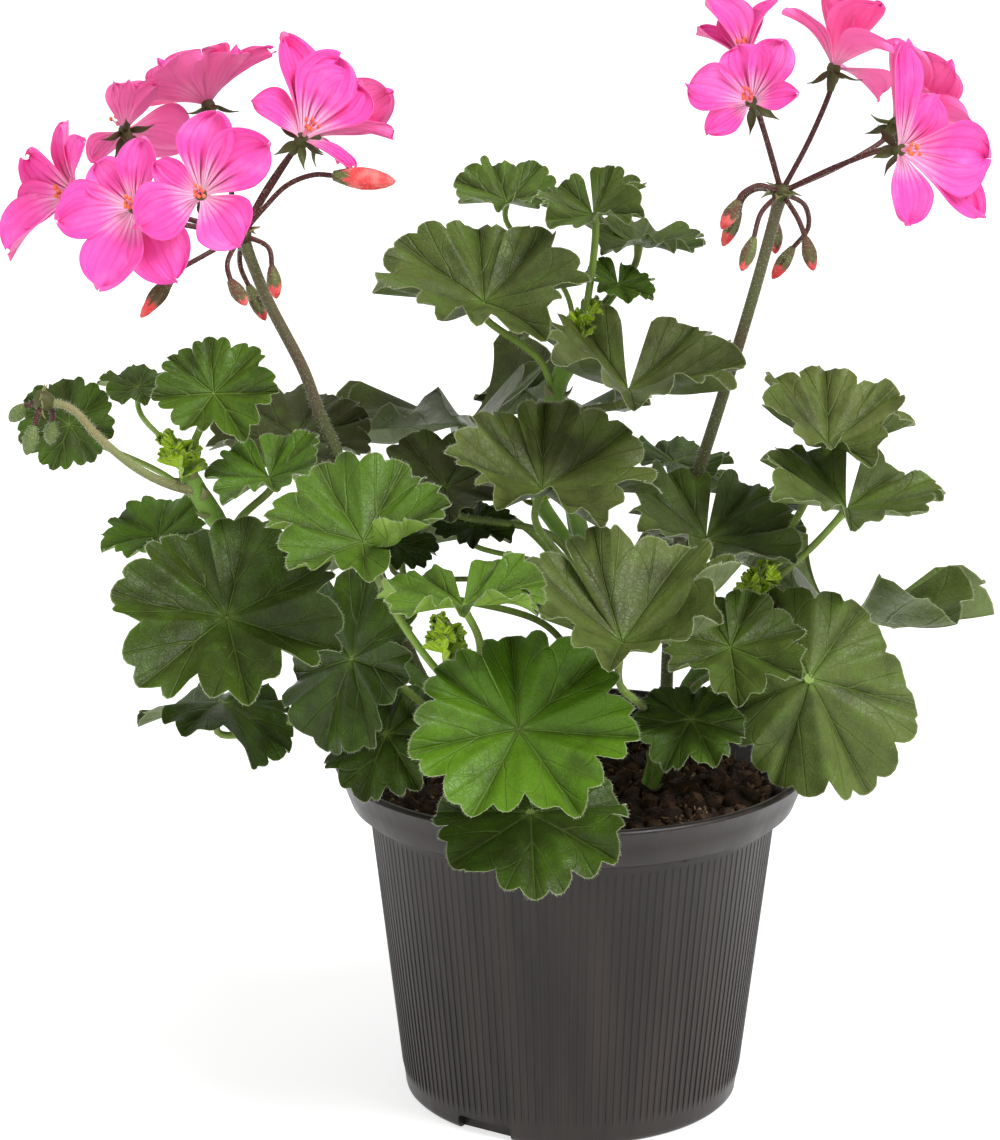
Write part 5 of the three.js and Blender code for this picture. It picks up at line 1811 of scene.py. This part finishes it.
@dataclass(frozen=True)
class Compost:
    """Peat that fills the pot and lies in low mounds, strewn with crumbs, fibres and grit.

    Attributes:
        level: the height of its surface, more or less.
        floor: the height of its underside.
        middle: the radius of the innermost ring of its faces.
        edge: its radius at the surface.
    """

    level: float = 85
    floor: float = 5.75
    middle: float = 0.5
    edge: float = 53.6

    ROWS = 50
    SIDES = 160
    LITTER = (
        Litter("crumb", 1.9, 1.3, 0.045, 0.6, 1.8, 3.0),
        Litter("crumb", 0.95, 1.3, 0.140, 0.5, 1.5, 3.0),
        Litter("fibre", 0.7, 2.2, 0.045, 0.4, 1.3, 3.0),
        Litter("fibre", 0.16, 26.0, 0.060, 0.4, 1.3, 0.6),
        Litter("grit", 0.32, 1.2, 0.015, 0.4, 1.3, 3.0),
    )

    def heights(self, x: np.ndarray, y: np.ndarray) -> np.ndarray:
        """Returns the height of the surface."""
        mounds = np.sin(x / 7) * np.cos(y / 9) + np.sin((x + y) / 13)
        rough = np.sin(x * 1.3 + 2 * np.sin(y * 0.9)) * np.sin(y * 1.1 + 1.7 * np.sin(x * 0.7))
        fine = np.sin(x * 3.1 + 3 * np.sin(y * 2.3)) * np.sin(y * 2.9 + 2 * np.sin(x * 1.9))
        return self.level + 0.8 + 1.25 * mounds + 1.3 * rough + 0.45 * fine

    def piece(self, shop: Workshop) -> "Piece":
        """Returns the whole compost."""
        finish = shop.finishes["compost"]
        radius = np.linspace(self.middle, self.edge, self.ROWS)[:, None]
        angle = np.linspace(0, 2 * math.pi, self.SIDES, endpoint=False)
        x, y = radius * np.cos(angle), radius * np.sin(angle)
        top = np.stack([x, y, self.heights(x, y)], axis=-1)
        walls = [
            (self.edge + 0.1, self.level - 3), (self.edge - 0.3, self.level - 4), (44.2, self.floor - 0.25),
            (42, self.floor), (self.middle, self.floor),
        ]
        side = np.array([[[r * math.cos(a), r * math.sin(a), z] for a in angle] for r, z in walls])
        rings = np.concatenate([top, side])
        corners, sizes = tube_faces(len(rings), self.SIDES)
        heap = Patch(rings.reshape(-1, 3), corners, sizes, finish)
        count = (self.ROWS - 1) * self.SIDES
        ground = Patch(top.reshape(-1, 3), corners[: 4 * count], sizes[:count], finish)
        bits = [kind.over(ground, number, shop) for number, kind in enumerate(self.LITTER)]
        return Piece("peat_compost", "compost", "compost_matter", [heap, *bits])


# Assembly


@dataclass
class Piece:
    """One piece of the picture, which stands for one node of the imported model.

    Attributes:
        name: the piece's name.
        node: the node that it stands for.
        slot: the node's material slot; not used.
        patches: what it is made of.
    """

    name: str
    node: str
    slot: str
    patches: list[Patch]

    SHARP_ANGLE = 50

    def place(self) -> bpy.types.Object:
        """Makes the object and ties it to the frame."""
        mesh = joined(self.name, self.patches)
        mesh.set_sharp_from_angle(angle=math.radians(self.SHARP_ANGLE))
        shown = bpy.data.objects.new(self.name, mesh)
        bpy.context.scene.collection.objects.link(shown)
        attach(shown, "root")
        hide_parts(self.node)
        LOG.info("%s: %d faces", self.name, len(mesh.polygons))
        return shown


class View(Enum):
    """The places of the camera and the lights, as (x, y, z) in metres."""

    CAMERA = (-0.01976, -0.93453, 0.3976)
    KEY = (0.85, -0.65, 1.5)
    FILL = (-1.0, -0.9, 0.8)


@dataclass(frozen=True)
class Studio:
    """A pale floor, soft light and the camera that took the picture.

    Attributes:
        pitch: the camera's tilt, in degrees up from straight down.
        lens: its focal length for a sensor this wide, both in millimetres.
        sensor: the sensor's width.
        aim: the height that the lights look at, in metres.
        key: how many degrees wide the main light is, and its power.
        fill: the same for the light from the left.
        sky: the strength of the white surroundings.
        greys: the darkest and the palest grey of the floor.
        glow: how far the floor shines by itself.
    """

    pitch: float = 75.0
    lens: float = 113.68
    sensor: float = 36
    aim: float = 0.17
    key: tuple[float, float] = (28, 2.9)
    fill: tuple[float, float] = (60, 0.5)
    sky: float = 0.58
    greys: tuple[float, float] = (0.59, 0.61)
    glow: float = 0.65

    def sun(self, place: View, wide: float, power: float) -> None:
        """Adds a far soft light that shines on the plant.

        Args:
            place: where it stands.
            wide: its width as seen from the plant, in degrees.
            power: its strength.
        """
        light = bpy.data.lights.new(place.name.lower(), "SUN")
        light.angle = math.radians(wide)
        light.energy = power
        made = bpy.data.objects.new(light.name, light)
        made.location = place.value
        aim = Vector((0, 0, self.aim)) - Vector(place.value)
        made.rotation_euler = aim.to_track_quat("-Z", "Y").to_euler()
        bpy.context.scene.collection.objects.link(made)

    def floor(self) -> None:
        """Adds the floor, which reaches far behind the plant."""
        s = Surface("pale_floor")
        dark, pale = ((grey, grey, grey) for grey in self.greys)
        colour = s.mix(s.noise(3, 2), dark, pale)
        glow = {"Emission_Color": (1.0, 1.0, 1.0, 1.0), "Emission_Strength": self.glow}
        material = s.finish(colour, 0.75, Specular_IOR_Level=0.2, **glow)
        mesh = bpy.data.meshes.new("floor")
        mesh.from_pydata([(-8, -4, 0), (8, -4, 0), (8, 16, 0), (-8, 16, 0)], [], [(0, 1, 2, 3)])
        mesh.materials.append(material)
        floor = bpy.data.objects.new("floor", mesh)
        bpy.context.scene.collection.objects.link(floor)

    def surroundings(self) -> None:
        """Adds the even white light from all round."""
        world = bpy.data.worlds.new("surroundings")
        world.use_nodes = True
        inputs = world.node_tree.nodes["Background"].inputs
        inputs[0].default_value = (1, 1, 1, 1)
        inputs[1].default_value = self.sky
        bpy.context.scene.world = world

    def camera(self) -> None:
        """Adds the camera."""
        camera = bpy.data.cameras.new("camera")
        camera.lens = self.lens
        camera.sensor_width = self.sensor
        camera.clip_end = 50
        shown = bpy.data.objects.new("camera", camera)
        shown.location = View.CAMERA.value
        shown.rotation_euler = (math.radians(self.pitch), 0, 0)
        bpy.context.scene.collection.objects.link(shown)
        bpy.context.scene.camera = shown

    def build(self) -> None:
        """Adds floor, lights, surroundings and camera."""
        self.floor()
        self.sun(View.KEY, *self.key)
        self.sun(View.FILL, *self.fill)
        self.surroundings()
        self.camera()
        bpy.context.scene.view_settings.view_transform = "Standard"


def main() -> None:
    """Builds pot, compost, stems, leaves, peduncles and flowers in that order, then the studio."""
    logging.basicConfig(level=logging.INFO, format="%(message)s")
    shop = Workshop.open()
    stems = [Stem(name, radius, points) for name, (radius, points) in STEMS.items()]
    for part in [Pot(), Compost(), *stems, *LEAVES, *PEDUNCLES, *FLOWERS]:
        part.piece(shop).place()
    Studio().build()


if __name__ == "__main__":
    main()
